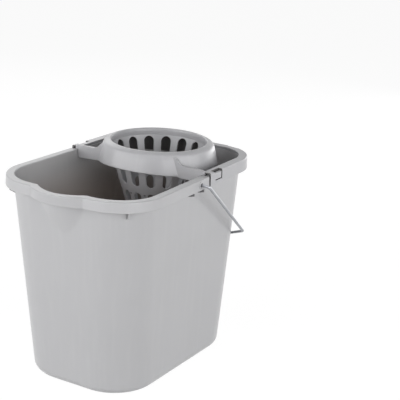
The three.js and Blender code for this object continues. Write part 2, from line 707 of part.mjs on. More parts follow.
function bailWire() {
  const line = wireLine();
  const circle = new THREE.Shape().absarc(0, 0, WIRE.diameter / 2, 0, 2 * Math.PI, false);
  const swept = new THREE.ExtrudeGeometry(circle, {
    steps: line.length - 1, curveSegments: 10, extrudePath: new CornerPath(line),
  });
  let wire = solid(swept);
  const end = line.at(-1).y;
  for (const side of [-1, 1]) {
    wire = wire.add(barAlongY(side, WIRE.head, end - WIRE.headLength, end, PIVOT.x, PIVOT_Z));
  }
  return wire;
}

/** Moulded sleeve round the bail's middle, with shallow grooves. */
function gripSleeve() {
  const half = GRIP.length / 2;
  const outer = GRIP.diameter / 2;
  const bore = GRIP.bore / 2;
  const points = [[bore, -half], [outer - GRIP.round, -half], [outer, -half + GRIP.round]];
  const pitch = (GRIP.length - 4 * GRIP.round) / GRIP.grooves;
  for (let i = 0; i < GRIP.grooves; i += 1) {
    const middle = -half + 2 * GRIP.round + (i + 0.5) * pitch;
    points.push(
      [outer, middle - pitch * 0.22], [outer - GRIP.groove, middle - pitch * 0.12],
      [outer - GRIP.groove, middle + pitch * 0.12], [outer, middle + pitch * 0.22],
    );
  }
  points.push([outer, half - GRIP.round], [outer - GRIP.round, half], [bore, half], [bore, -half]);
  const profile = points.map(([r, y]) => new THREE.Vector2(r, y));
  const middle = bailPoint(0, gripReach());
  return new THREE.LatheGeometry(profile, 20).translate(middle.x, middle.y, middle.z);
}

// ---------------------------------------------------------------- assembly

const mopBucket = new THREE.Group();
mopBucket.name = 'mop_bucket_with_wringer';
mopBucket.add(
  part('bucket', surface(bucket()), '#c2c2c4', 0.42, 0),
  part('wringer', surface(wringer()), '#bcbcbe', 0.42, 0),
  part('bail_wire', surface(bailWire()), '#c9c9c9', 0.28, 1),
  part('bail_grip', surface(solid(gripSleeve())), '#bcbcbe', 0.45, 0),
);

export default mopBucket;
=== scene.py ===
"""Household mop bucket with a lift-out cone wringer and a wire bail, dressed round its CAD model.

The frame is the CAD model's: +Z up, the origin at the centre of the bucket's base on the floor,
the spout toward -X, the wringer at +X and the bail's pivots along Y.  Shapes are worked out in
millimetres and become metres when a mesh is made.
"""

import json
import logging
import math
from dataclasses import dataclass, field
from enum import Enum
from functools import partial
from typing import Callable, Iterable, Sequence

import bmesh
import bpy
from mathutils import Matrix, Vector


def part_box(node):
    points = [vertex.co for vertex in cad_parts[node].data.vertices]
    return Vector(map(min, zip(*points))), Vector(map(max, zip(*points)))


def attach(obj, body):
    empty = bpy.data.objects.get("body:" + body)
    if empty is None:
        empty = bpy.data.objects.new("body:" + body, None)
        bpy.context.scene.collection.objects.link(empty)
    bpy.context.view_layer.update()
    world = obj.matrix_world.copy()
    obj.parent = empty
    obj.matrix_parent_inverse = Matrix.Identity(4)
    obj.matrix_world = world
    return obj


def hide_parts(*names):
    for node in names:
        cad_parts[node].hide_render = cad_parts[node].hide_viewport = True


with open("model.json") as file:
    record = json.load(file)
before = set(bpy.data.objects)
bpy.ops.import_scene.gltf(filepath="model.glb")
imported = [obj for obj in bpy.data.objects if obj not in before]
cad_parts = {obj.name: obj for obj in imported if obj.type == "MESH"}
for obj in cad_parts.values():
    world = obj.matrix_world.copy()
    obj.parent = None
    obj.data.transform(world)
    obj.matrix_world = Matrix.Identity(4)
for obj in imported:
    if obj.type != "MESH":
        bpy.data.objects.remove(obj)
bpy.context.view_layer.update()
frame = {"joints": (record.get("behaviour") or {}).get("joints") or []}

LOG = logging.getLogger("mop_bucket")
MM = 0.001
CLEARANCE = 0.3  # between parts that seat on each other
SMOOTH_ANGLE = math.radians(34)  # faces that meet more sharply keep their edge
WELD = 2e-6  # vertices nearer than this, in metres, become one
SLIVER = 1e-7  # edges shorter than this, in metres, are dropped
SLACK = 0.05  # millimetres by which two places that agree may differ
FACING = 0.9  # share of a unit normal along an axis, past which a face looks that way

Flat = tuple[float, float]
Point = tuple[float, float, float]
Corner = tuple[float, float, float]  # two coordinates and the radius that rounds it
Span = tuple[Flat, Flat, Flat]  # lower and upper limit on each axis


# ---------------------------------------------------------------- places in the frame

def millimetres(metres: float) -> float:
    """Length or place from the frame, in millimetres to the nearest thousandth."""
    return round(metres / MM, 3)


def box_of(node: str) -> list[list[float]]:
    """Lowest and highest corner of a CAD node at rest, in millimetres."""
    return [[millimetres(value) for value in corner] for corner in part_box(node)]


def hinge_of(name: str) -> Flat:
    """X and height of a hinge that lies along Y, in millimetres."""
    place = next(joint["pos_m"] for joint in frame["joints"] if joint["name"] == name)
    return millimetres(place[0]), millimetres(place[2])


RIM_TOP = box_of("bucket")[1][2]
WRINGER_FOOT, WRINGER_TOP = (corner[2] for corner in box_of("wringer"))
GRIP_LENGTH = 2 * box_of("bail_grip")[1][1]
PIVOT = hinge_of("bail_swing")


# ---------------------------------------------------------------- numbers and curves

def lerp(a: float, b: float, t: float) -> float:
    """Value between a and b at share t."""
    return a + (b - a) * t


def clamp(t: float) -> float:
    """Share held between 0 and 1."""
    return min(max(t, 0.0), 1.0)


def soft_positive(value: float, softness: float) -> float:
    """Value where it is positive, zero where it is negative, with a rounded turn between."""
    return 0.5 * (value + math.sqrt(value * value + softness * softness))


def turns(steps: int) -> list[float]:
    """Angles of a full turn in equal steps, in radians."""
    return [2 * math.pi * i / steps for i in range(steps)]


def arc(centre: Flat, radius: float, start: float, end: float, steps: int) -> list[Flat]:
    """Points of an arc.

    Args:
        centre: Middle of the circle.
        radius: Its radius.
        start: First angle, in degrees.
        end: Last angle, in degrees.
        steps: Number of chords.

    Returns:
        The points from start to end, both included.
    """
    angles = [math.radians(lerp(start, end, i / steps)) for i in range(steps + 1)]
    return [(centre[0] + radius * math.cos(t), centre[1] + radius * math.sin(t)) for t in angles]


def rounded(corners: Sequence[Corner], steps: int = 5) -> list[Flat]:
    """Open polyline with each inner corner rounded to its own radius.

    Args:
        corners: Its corners; a radius of 0 leaves one sharp.
        steps: Chords in each rounded corner.

    Returns:
        The points of the rounded line.
    """
    line: list[Flat] = []
    for i, (u, v, radius) in enumerate(corners):
        if radius == 0 or i in (0, len(corners) - 1):
            line.append((u, v))
            continue
        here = Vector((u, v))
        back = (Vector(corners[i - 1][:2]) - here).normalized()
        ahead = (Vector(corners[i + 1][:2]) - here).normalized()
        half = back.angle(ahead) / 2
        centre = here + (back + ahead).normalized() * (radius / math.sin(half))
        start = here + back * (radius / math.tan(half)) - centre
        turn = start.angle_signed(here + ahead * (radius / math.tan(half)) - centre)
        for k in range(steps + 1):
            spun = Matrix.Rotation(-turn * k / steps, 2) @ start
            line.append(tuple(centre + spun))
    return line


# ---------------------------------------------------------------- mesh building

class Operation(Enum):
    """What a solid does to the one it meets."""

    JOIN = "UNION"
    CUT = "DIFFERENCE"


class MeshBuilder:
    """Collects skins in millimetres and turns them into one closed mesh object."""

    def __init__(self) -> None:
        """Start with nothing."""
        self.bm = bmesh.new()

    def ring(self, points: Iterable[Point]) -> list[bmesh.types.BMVert]:
        """Add one loop of vertices."""
        return [self.bm.verts.new((x * MM, y * MM, z * MM)) for x, y, z in points]

    def skin(self, rings: Sequence[Sequence[Point]], closed: bool = True, wrap: bool = False,
             ends: bool = False) -> None:
        """Stretch quads over rings of equal length.

        Args:
            rings: The rings, in order.
            closed: Whether each ring closes on itself.
            wrap: Whether the last ring joins the first one.
            ends: Whether the first and last rings are filled.
        """
        loops = [self.ring(points) for points in rings]
        pairs = list(zip(loops, loops[1:]))
        if wrap:
            pairs.append((loops[-1], loops[0]))
        count = len(loops[0])
        for low, high in pairs:
            for i in range(count if closed else count - 1):
                j = (i + 1) % count
                self.bm.faces.new((low[i], low[j], high[j], high[i]))
        if ends:
            self.bm.faces.new(loops[0])
            self.bm.faces.new(loops[-1])

    def fan(self, points: Sequence[Point]) -> None:
        """Fill a ring with triangles round its middle.

        Args:
            points: The ring.
        """
        loop = self.ring(points)
        middle = Vector((0, 0, 0))
        for vertex in loop:
            middle += vertex.co / len(loop)
        hub = self.bm.verts.new(middle)
        for i, vertex in enumerate(loop):
            self.bm.faces.new((vertex, loop[(i + 1) % len(loop)], hub))

    def make(self, name: str) -> bpy.types.Object:
        """Close the seams, face the skin outward and link the object.

        Args:
            name: The object's name.

        Returns:
            The object, at the origin.
        """
        bmesh.ops.remove_doubles(self.bm, verts=self.bm.verts, dist=WELD)
        bmesh.ops.recalc_face_normals(self.bm, faces=self.bm.faces)
        mesh = bpy.data.meshes.new(name)
        self.bm.to_mesh(mesh)
        self.bm.free()
        thing = bpy.data.objects.new(name, mesh)
        bpy.context.scene.collection.objects.link(thing)
        return thing


def combine(base: bpy.types.Object, tool: bpy.types.Object, operation: Operation) -> None:
    """Join a solid to another or cut it out, and remove it.

    Args:
        base: The solid that stays.
        tool: The solid that is used up.
        operation: Whether it joins or cuts.
    """
    modifier = base.modifiers.new("meet", "BOOLEAN")
    modifier.operation = operation.value
    modifier.solver = "MANIFOLD"
    modifier.object = tool
    bpy.context.view_layer.update()
    graph = bpy.context.evaluated_depsgraph_get()
    result = bpy.data.meshes.new_from_object(base.evaluated_get(graph))
    base.modifiers.remove(modifier)
    old = base.data
    base.data = result
    bpy.data.meshes.remove(old)
    used = tool.data
    bpy.data.objects.remove(tool)
    bpy.data.meshes.remove(used)


def smooth(thing: bpy.types.Object) -> None:
    """Shade a mesh smooth up to its creases, and drop the empty slots that joining leaves.

    Args:
        thing: The mesh object.
    """
    thing.data.materials.clear()
    bm = bmesh.new()
    bm.from_mesh(thing.data)
    bmesh.ops.dissolve_degenerate(bm, edges=bm.edges, dist=SLIVER)
    for face in bm.faces:
        face.smooth = True
    for edge in bm.edges:
        edge.smooth = edge.calc_face_angle(0.0) < SMOOTH_ANGLE
    bm.to_mesh(thing.data)
    bm.free()
    weighted = thing.modifiers.new("broad_faces_lead", "WEIGHTED_NORMAL")
    weighted.keep_sharp = True


def prism(points: Sequence[Point], along: Vector, bevels: Callable[[Vector, Vector], float] | None = None,
          segments: int = 4) -> bpy.types.Object:
    """Extrude a flat outline and round chosen edges.

    Args:
        points: The outline, in millimetres.
        along: How far and which way it is extruded, in millimetres.
        bevels: Radius for the edge between two points, 0 for a sharp one.
        segments: Steps in each rounded edge.

    Returns:
        The closed solid.
    """
    builder = MeshBuilder()
    far = [tuple(Vector(p) + along) for p in points]
    builder.skin([points, far], ends=True)
    bm = builder.bm
    if bevels:
        groups: dict[float, list[bmesh.types.BMEdge]] = {}
        for edge in bm.edges:
            radius = bevels(edge.verts[0].co / MM, edge.verts[1].co / MM)
            if radius > 0:
                groups.setdefault(radius, []).append(edge)
        for radius, edges in sorted(groups.items(), reverse=True):
            alive = [edge for edge in edges if edge.is_valid]
            bmesh.ops.bevel(bm, geom=alive, offset=radius * MM, segments=segments, affect="EDGES",
                            profile=0.5, clamp_overlap=True)
    return builder.make("solid")


def block(span: Span) -> bpy.types.Object:
    """Square-edged solid.

    Args:
        span: Its limits on each axis.

    Returns:
        The closed solid.
    """
    x, y, z = span
    corners = [(x[0], y[0], z[0]), (x[1], y[0], z[0]), (x[1], y[1], z[0]), (x[0], y[1], z[0])]
    return prism(corners, Vector((0, 0, z[1] - z[0])))


def bar(centre: Point, profile: Sequence[Flat], sides: int = 40) -> bpy.types.Object:
    """Solid turned about a line along Y.

    Args:
        centre: A point on the line.
        profile: (radius, distance along Y) from one end to the other.
        sides: Facets round it.

    Returns:
        The closed solid.
    """
    builder = MeshBuilder()
    rings = [
        [(centre[0] + r * math.cos(t), centre[1] + y, centre[2] + r * math.sin(t)) for t in turns(sides)]
        for r, y in profile
    ]
    builder.skin(rings, ends=True)
    return builder.make("bar")


def mirrored(side: int, low: float, high: float) -> Flat:
    """Limits along Y of a cut between two distances from the middle, on one side."""
    return tuple(sorted((side * low, side * high)))


def within(centre: Vector, spans: Iterable[Span]) -> bool:
    """Whether a face's middle lies in or on one of the spans."""
    return any(all(low - SLACK <= c <= high + SLACK for c, (low, high) in zip(centre, span))
               for span in spans)


# ---------------------------------------------------------------- node trees

def linear(shade: str) -> tuple[float, float, float, float]:
    """Linear colour of an sRGB hex value.

    Args:
        shade: Six hex digits after a hash.

    Returns:
        Red, green, blue and an alpha of 1.
    """
    parts = [int(shade[i:i + 2], 16) / 255 for i in (1, 3, 5)]
    values = [c / 12.92 if c <= 0.04045 else ((c + 0.055) / 1.055) ** 2.4 for c in parts]
    return values[0], values[1], values[2], 1.0


def add(tree: bpy.types.NodeTree, kind: str, settings: dict | None = None,
        links: dict | None = None) -> bpy.types.Node:
    """Add a node with its settings and links.

    Args:
        tree: The node tree.
        kind: The node's type.
        settings: Values by attribute name, or by an input's name or number.
        links: Output sockets by an input's name or number.

    Returns:
        The node.
    """
    node = tree.nodes.new(kind)
    for key, value in (settings or {}).items():
        if isinstance(key, str) and key[0].islower():
            setattr(node, key, value)
        else:
            node.inputs[key].default_value = value
    for key, source in (links or {}).items():
        tree.links.new(source, node.inputs[key])
    return node


def new_material(name: str) -> tuple[bpy.types.Material, bpy.types.NodeTree]:
    """Make an empty node material.

    Args:
        name: Its name.

    Returns:
        The material and its node tree.
    """
    material = bpy.data.materials.new(name)
    material.use_nodes = True
    material.node_tree.nodes.clear()
    return material, material.node_tree


def per_metre(size_mm: float) -> float:
    """Texture scale whose features are so many millimetres across."""
    return 1 / (size_mm * MM)


# ---------------------------------------------------------------- finishes

class Texture(Enum):
    """How deep the mould's face was textured, as a share of the grain's usual depth."""

    SPARK_ERODED = 0.9
    FINE_BLASTED = 0.45


@dataclass(frozen=True)
class MouldedPolypropylene:
    """Injection-moulded polypropylene: a waxy, low-sheen grey with soft, broad highlights.

    The melt leaves slow cloudy differences in shade, the draw from the mould leaves faint upright
    streaks, and the eroded mould face breaks the gloss up.
    """

    name: str
    shade: str
    cloud_shade: str
    streak_shade: str
    roughness: float = 0.31
    cloud_mm: float = 85.0
    streak_mm: float = 7.0
    streak_squeeze: float = 0.035  # the streaks are drawn out along Z by its inverse
    streak_band: Point = (0.5, 0.85, 0.35)  # noise where they begin and are full, and their strength
    texture: Texture = Texture.SPARK_ERODED
    texture_mm: float = 1.1  # the real grain is 0.1 to 0.2 mm, drawn coarser so that it shows
    texture_depth: float = 0.06
    texture_strength: float = 0.12
    gloss_range: Flat = (-0.05, 0.07)  # of the roughness, from the grain's low spots to its high ones
    low_shade: str = ""  # warmer, lighter colour that it turns to lower down inside, if it has one
    low_heights: Flat = (205.0, 262.0)  # where that is full, and where it ends
    painted_back_shade: str = "#8A8481"  # painted shade low down at the back, under the wringer
    back_reach: Flat = (90.0, 140.0)  # where along X that begins, and where it is full

    def moulded(self, tree: bpy.types.NodeTree, place: bpy.types.NodeSocket) -> bpy.types.NodeSocket:
        """Colour as it leaves the mould: a clouded shade with upright streaks.

        Args:
            tree: The node tree.
            place: The object's coordinates.

        Returns:
            The colour's socket.
        """
        cloud = add(tree, "ShaderNodeTexNoise", {"Scale": per_metre(self.cloud_mm), "Detail": 3.0,
                                                 "Roughness": 0.45}, {"Vector": place})
        stretch = add(tree, "ShaderNodeMapping", {"Scale": (1.0, 1.0, self.streak_squeeze)},
                      {"Vector": place})
        streak = add(tree, "ShaderNodeTexNoise", {"Scale": per_metre(self.streak_mm), "Detail": 2.0},
                     {"Vector": stretch.outputs["Vector"]})
        clouded = add(tree, "ShaderNodeMix", {"data_type": "RGBA", 6: linear(self.shade),
                                              7: linear(self.cloud_shade)}, {0: cloud.outputs["Fac"]})
        start, full, strength = self.streak_band
        drawn = add(tree, "ShaderNodeMapRange",
                    {"From Min": start, "From Max": full, "To Max": strength},
                    {"Value": streak.outputs["Fac"]})
        streaked = add(tree, "ShaderNodeMix", {"data_type": "RGBA", 7: linear(self.streak_shade)},
                       {0: drawn.outputs["Result"], 6: clouded.outputs[2]})
        return streaked.outputs[2]

    def warmed_and_shaded_low(self, tree: bpy.types.NodeTree, place: bpy.types.NodeSocket,
               upper_colour: bpy.types.NodeSocket) -> bpy.types.NodeSocket:
        """Colour that dirty water has dulled low down, and more at the back.

        Args:
            tree: The node tree.
            place: The object's coordinates.
            upper_colour: The colour higher up.

        Returns:
            The colour's socket.
        """
        axes = add(tree, "ShaderNodeSeparateXYZ", None, {"Vector": place})
        back = add(tree, "ShaderNodeMapRange", {"From Min": self.back_reach[0] * MM,
                                                "From Max": self.back_reach[1] * MM},
                   {"Value": axes.outputs["X"]})
        # painted shade: low down, the colour darkens toward the back under the wringer
        low = add(tree, "ShaderNodeMix", {"data_type": "RGBA", 6: linear(self.low_shade),
                                          7: linear(self.painted_back_shade)}, {0: back.outputs["Result"]})
        raised = add(tree, "ShaderNodeMapRange", {"From Min": self.low_heights[0] * MM,
                                                  "From Max": self.low_heights[1] * MM},
                     {"Value": axes.outputs["Z"]})
        mixed = add(tree, "ShaderNodeMix", {"data_type": "RGBA"},
                    {0: raised.outputs["Result"], 6: low.outputs[2], 7: upper_colour})
        return mixed.outputs[2]

    def make(self) -> bpy.types.Material:
        """Build the node material.

        Returns:
            The material.
        """
        material, tree = new_material(self.name)
        place = add(tree, "ShaderNodeTexCoord").outputs["Object"]
        colour = self.moulded(tree, place)
        if self.low_shade:
            colour = self.warmed_and_shaded_low(tree, place, colour)
        grain = add(tree, "ShaderNodeTexNoise", {"Scale": per_metre(self.texture_mm), "Detail": 2.0,
                                                 "Roughness": 0.6}, {"Vector": place})
        dull = add(tree, "ShaderNodeMapRange", {"To Min": self.roughness + self.gloss_range[0],
                                                "To Max": self.roughness + self.gloss_range[1]},
                   {"Value": grain.outputs["Fac"]})
        bump = add(tree, "ShaderNodeBump", {"Strength": self.texture_strength,
                                            "Distance": self.texture_depth * MM * self.texture.value},
                   {"Height": grain.outputs["Fac"]})
        shader = add(tree, "ShaderNodeBsdfPrincipled", {"IOR": 1.49},
                     {"Base Color": colour, "Roughness": dull.outputs["Result"],
                      "Normal": bump.outputs["Normal"]})
        add(tree, "ShaderNodeOutputMaterial", None, {"Surface": shader.outputs["BSDF"]})
        return material


@dataclass(frozen=True)
class DrawnZincedSteel:
    """Cold-drawn steel wire with bright zinc plating: a clear metal glint with fine draw lines."""

    name: str = "zinc_plated_drawn_steel"
    shade: str = "#AEAFB3"
    dull_shade: str = "#909297"  # the zinc's bloom
    roughness: float = 0.32
    bloom_mm: float = 9.0
    line_mm: float = 0.9  # the draw lines are finer, drawn coarser so that they show
    line_squeeze: float = 0.04  # the lines are drawn out along the leg by its inverse
    line_depth: float = 0.04
    line_strength: float = 0.15
    gloss_range: Flat = (-0.08, 0.12)  # of the roughness, from the lines' low spots to their high ones
    direction: float = 37.2  # degrees below level that the legs run

    def make(self) -> bpy.types.Material:
        """Build the node material.

        Returns:
            The material.
        """
        material, tree = new_material(self.name)
        place = add(tree, "ShaderNodeTexCoord").outputs["Object"]
        turned = add(tree, "ShaderNodeMapping",
                     {"Rotation": (0.0, -math.radians(self.direction), 0.0),
                      "Scale": (self.line_squeeze, 1.0, 1.0)},
                     {"Vector": place})
        lines = add(tree, "ShaderNodeTexNoise", {"Scale": per_metre(self.line_mm), "Detail": 2.0},
                    {"Vector": turned.outputs["Vector"]})
        bloom = add(tree, "ShaderNodeTexNoise", {"Scale": per_metre(self.bloom_mm), "Detail": 3.0},
                    {"Vector": place})
        shade = add(tree, "ShaderNodeMix", {"data_type": "RGBA", 6: linear(self.shade),
                                            7: linear(self.dull_shade)}, {0: bloom.outputs["Fac"]})
        dull = add(tree, "ShaderNodeMapRange", {"To Min": self.roughness + self.gloss_range[0],
                                                "To Max": self.roughness + self.gloss_range[1]},
                   {"Value": lines.outputs["Fac"]})
        bump = add(tree, "ShaderNodeBump", {"Strength": self.line_strength, "Distance": self.line_depth * MM},
                   {"Height": lines.outputs["Fac"]})
        shader = add(tree, "ShaderNodeBsdfPrincipled", {"Metallic": 1.0},
                     {"Base Color": shade.outputs[2], "Roughness": dull.outputs["Result"],
                      "Normal": bump.outputs["Normal"]})
        add(tree, "ShaderNodeOutputMaterial", None, {"Surface": shader.outputs["BSDF"]})
        return material


Finish = MouldedPolypropylene | DrawnZincedSteel

# The pail's outside: light, slightly cool grey, waxy, with a broad soft sheen.
BUCKET_FINISH = MouldedPolypropylene("moulded_polypropylene_bucket", "#C1C1C3", "#BBBBBD", "#C6C6C7")
# Its inside: the same grey at the rim, warmer and lighter lower down, with painted shade low at the back under the
# wringer.
BUCKET_INSIDE = MouldedPolypropylene("moulded_polypropylene_bucket_inside", "#C1C1C2", "#BBBBBC", "#C6C6C6",
                                     low_shade="#CFC5BF")
# The cut faces of the rim's pockets and slots: painted near-black shade, so they read as dark lines.
BUCKET_OPENING_PAINTED_SHADE = MouldedPolypropylene("moulded_polypropylene_bucket_painted_shade", "#464646", "#424242", "#4C4C4C",
                                     roughness=0.5)
# The sides of the webs: painted grey shade, as the skirt shades them, so they read as soft marks.
BUCKET_SHADED = MouldedPolypropylene("moulded_polypropylene_bucket_shaded", "#8E8E8F", "#888889", "#949495",
                                     roughness=0.4)
# The wringer: a finer mould face, so it is a little glossier than the pail.
WRINGER_FINISH = MouldedPolypropylene("moulded_polypropylene_wringer", "#BEBEC1", "#B8B8BB", "#C4C4C6",
                                      roughness=0.29, cloud_mm=60.0, texture=Texture.FINE_BLASTED)
# Inside its collar, in its slits and on the cap's front ends: painted dark shade, dull, so they read as shadow.
WRINGER_PAINTED_SHADE = MouldedPolypropylene("moulded_polypropylene_wringer_painted_shade", "#6C6B6B", "#656464", "#737272",
                                      roughness=0.45, cloud_mm=60.0)
# The grip: handled, so duller and finer in its streaks.
GRIP_FINISH = MouldedPolypropylene("moulded_polypropylene_grip", "#BDBDBF", "#B6B6B8", "#C2C2C4",
                                   roughness=0.34, cloud_mm=30.0, streak_mm=4.0)
# The wire: a bright line where it catches the light, greyed in patches by the zinc's bloom.
WIRE_FINISH = DrawnZincedSteel()


def number_faces(piece: bpy.types.Object, kind_of: Callable[[Vector, Vector], Enum]) -> None:
    """Give each face the number of its kind of finish.

    Args:
        piece: The piece.
        kind_of: Kind of a face from its middle, in millimetres, and its normal.
    """
    for face in piece.data.polygons:
        face.material_index = kind_of(face.center / MM, face.normal).value


def settle(piece: bpy.types.Object, name: str, finishes: Sequence[Finish], body: str, node: str) -> bpy.types.Object:
    """Name and finish a piece and set it on its body in place of its CAD node.

    Args:
        piece: The piece.
        name: Its name.
        finishes: Its finishes, in the order that its faces number them.
        body: The body it rides on.
        node: The CAD node it stands for.

    Returns:
        The piece.
    """
    piece.name = name
    piece.data.name = name
    for finish in finishes:
        piece.data.materials.append(finish.make())
    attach(piece, body)
    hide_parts(node)
    return piece


# ---------------------------------------------------------------- the bucket's form

class Run(Enum):
    """Stretch of the bucket's outline that a station lies on."""

    SIDE = "straight side"
    CORNER = "corner"
    FRONT = "spout end"


@dataclass(frozen=True)
class Station:
    """Place on every one of the bucket's nested outlines, whatever their size."""

    run: Run
    side: int = 1  # -1 near, 1 far
    rear: bool = False
    x: float = 0.0  # on a straight side
    turn: float = 0.0  # in a corner, in degrees
    share: float = 0.0  # along the spout end, from -1 to 1


@dataclass(frozen=True)
class Outline:
    """Rounded rectangle that flares a little along X, as half sizes."""

    length: float
    width: float
    front: float  # corner radii
    rear: float
    x: float  # of its middle
    flare: float  # half width gained per millimetre toward +X


@dataclass(frozen=True)
class Level:
    """One ring of the bucket's skin."""

    outline: Outline
    offset: float  # outward from the outline
    z: float
    seat: float | None = None  # where along X the ring is stepped in from, if it is


@dataclass(frozen=True)
class TubForm:
    """Outlines of the tub at every height, in millimetres."""

    base: Outline = Outline(138.0, 92.0, 61.5, 61.5, 0.0, 0.023)
    mouth: Outline = Outline(157.7, 103.3, 56.8, 48.6, -6.4, -0.0094)
    wall: float = 2.4
    rim_top: float = RIM_TOP
    skirt_depth: float = 14.5
    reach: float = 10.4  # from the wall to the rim's outer edge
    draft: float = 0.5  # how far the skirt leans out at its foot
    sheet: float = 2.0  # thickness of the rim and its skirt
    seat_start: float = 8.4  # the rim is stepped in from here back, to take the wringer's cap
    seat_depth: float = 3.5
    # stations on either side of its start
    seat_steps: tuple[float, ...] = (-2.4, -1.8, -1.2, -0.6, -0.1, 0.1, 0.4, 0.8)
    spout_tip: float = 221.0
    spout_reach: float = 16.0
    spout_half: float = 37.0  # half width at the rim
    throat_half: float = 35.0  # half width at the skirt's foot
    throat_power: float = 0.55  # the wall's V opens fast above its tip and then more slowly
    reach_power: float = 1.1  # how the spout's reach grows from its tip to the rim
    softness: Flat = (0.35, 0.04)  # of the turn into the wall, at the tip and at the skirt's foot
    spread: float = 0.35  # the spout widens by this share of a surface's distance from the wall
    plain: float = -4.0  # the end is left flat where 1 - (y / half width) squared is under this
    corner_steps: int = 22
    spout_steps: int = 92

    @property
    def skirt_foot(self) -> float:
        """Height of the rim skirt's lower edge."""
        return self.rim_top - self.skirt_depth

    def at(self, z: float) -> Outline:
        """Outer face of the wall.

        Args:
            z: Height.

        Returns:
            The outline there.
        """
        t = z / self.skirt_foot
        low, high = self.base, self.mouth
        return Outline(
            lerp(low.length, high.length, t), lerp(low.width, high.width, t),
            lerp(low.front, high.front, t), lerp(low.rear, high.rear, t),
            lerp(low.x, high.x, t), lerp(low.flare, high.flare, t),
        )

    def spout(self, y: float, z: float, offset: float) -> float:
        """How far the spout pushes the front end out.

        Args:
            y: Distance from the middle.
            z: Height.
            offset: Distance of the surface from the wall's outer face.

        Returns:
            The push toward -X.
        """
        if z <= self.spout_tip:
            return 0.0
        rise = clamp((z - self.spout_tip) / (self.rim_top - self.spout_tip))
        throat = clamp((z - self.spout_tip) / (self.skirt_foot - self.spout_tip))
        rim = clamp((z - self.skirt_foot) / self.skirt_depth)
        half = lerp(self.throat_half * throat ** self.throat_power, self.spout_half, rim)
        half += max(offset, 0) * self.spread
        share = 1 - (y / max(half, 1.0)) ** 2
        softness = lerp(*self.softness, throat)
        settled = soft_positive(max(share, self.plain), softness) - soft_positive(self.plain, softness)
        return self.spout_reach * rise ** self.reach_power * settled

    def place(self, station: Station, outline: Outline, offset: float, z: float) -> Point:
        """A station's point on an outline grown by an offset.

        Args:
            station: The place round the bucket.
            outline: The outline it lies on.
            offset: Distance outward from the outline.
            z: Height.

        Returns:
            The point.
        """
        length = outline.length + offset
        width = outline.width + offset
        if station.run is Run.SIDE:
            x, y = station.x, station.side * width
        elif station.run is Run.CORNER:
            radius = (outline.rear if station.rear else outline.front) + offset
            toward = 1 if station.rear else -1
            turn = math.radians(station.turn)
            x = outline.x + toward * (length - radius + radius * math.cos(turn))
            y = station.side * (width - radius + radius * math.sin(turn))
        else:
            y = station.share * (outline.width - outline.front)
            x = outline.x - length - self.spout(y, z, offset)
        return x, y * (1 + outline.flare * (x - outline.x) / outline.width), z

    def corner(self, side: int, rear: bool) -> list[Station]:
        """Stations round a corner, from the straight side to the end."""
        steps = range(self.corner_steps, -1, -1)
        return [Station(Run.CORNER, side, rear, turn=90 * i / self.corner_steps) for i in steps]

    def rear_end(self) -> list[Station]:
        """Stations round both rear corners, from the near side to the far one."""
        return self.corner(-1, True) + self.corner(1, True)[::-1]

    def stations(self) -> list[Station]:
        """Stations round the whole bucket.

        Returns:
            The stations, anticlockwise from above, from the near side's seat.
        """
        seat = [self.seat_start + past for past in self.seat_steps]
        spread = [2 * i / self.spout_steps - 1 for i in range(1, self.spout_steps)]
        ring = [Station(Run.SIDE, -1, x=x) for x in seat]
        ring += self.rear_end()
        ring += [Station(Run.SIDE, 1, x=x) for x in reversed(seat)]
        ring += self.corner(1, False)
        ring += [Station(Run.FRONT, share=-share) for share in spread]
        ring += self.corner(-1, False)[::-1]
        return ring

    def stepped(self, station: Station, seat: float | None) -> float:
        """How far the rim is stepped in to take the cap.

        Args:
            station: The place round the bucket.
            seat: Where along X the step begins on the sides, or None where there is none.

        Returns:
            The depth of the step there.
        """
        if seat is None or station.run is Run.FRONT:
            return 0.0
        behind = station.rear if station.run is Run.CORNER else station.x > seat
        return self.seat_depth if behind else 0.0

    def ring(self, level: Level, stations: Sequence[Station]) -> list[Point]:
        """Points of one ring of the skin."""
        return [self.place(s, level.outline, level.offset - self.stepped(s, level.seat), level.z)
                for s in stations]

    def skirt_face(self, x: float, z: float) -> float:
        """Half width over the rim's skirt at x and a height."""
        lean = self.draft * (self.rim_top - z) / self.skirt_depth
        return self.place(Station(Run.SIDE, x=x), self.mouth, self.reach + lean, z)[1]

    def side_face(self, x: float, outline: Outline, offset: float) -> float:
        """Half width at x of an outline grown by an offset."""
        return self.place(Station(Run.SIDE, x=x), outline, offset, 0)[1]


# ---------------------------------------------------------------- the bucket

class PailFace(Enum):
    """Kind of face on the pail, by the number of its finish."""

    OUTSIDE = 0
    INSIDE = 1
    # painted near-black shade on the seat's pocket and slot faces
    OPENING = 2
    # painted grey shade on the webs' sides
    WEB = 3


@dataclass(frozen=True)
class Web:
    """Lower end of an upright web under the rim."""

    reach: float  # of its toe, from the wall
    toe: float  # how far the toe hangs below the skirt
    root: float  # how far it hangs below the skirt at the wall


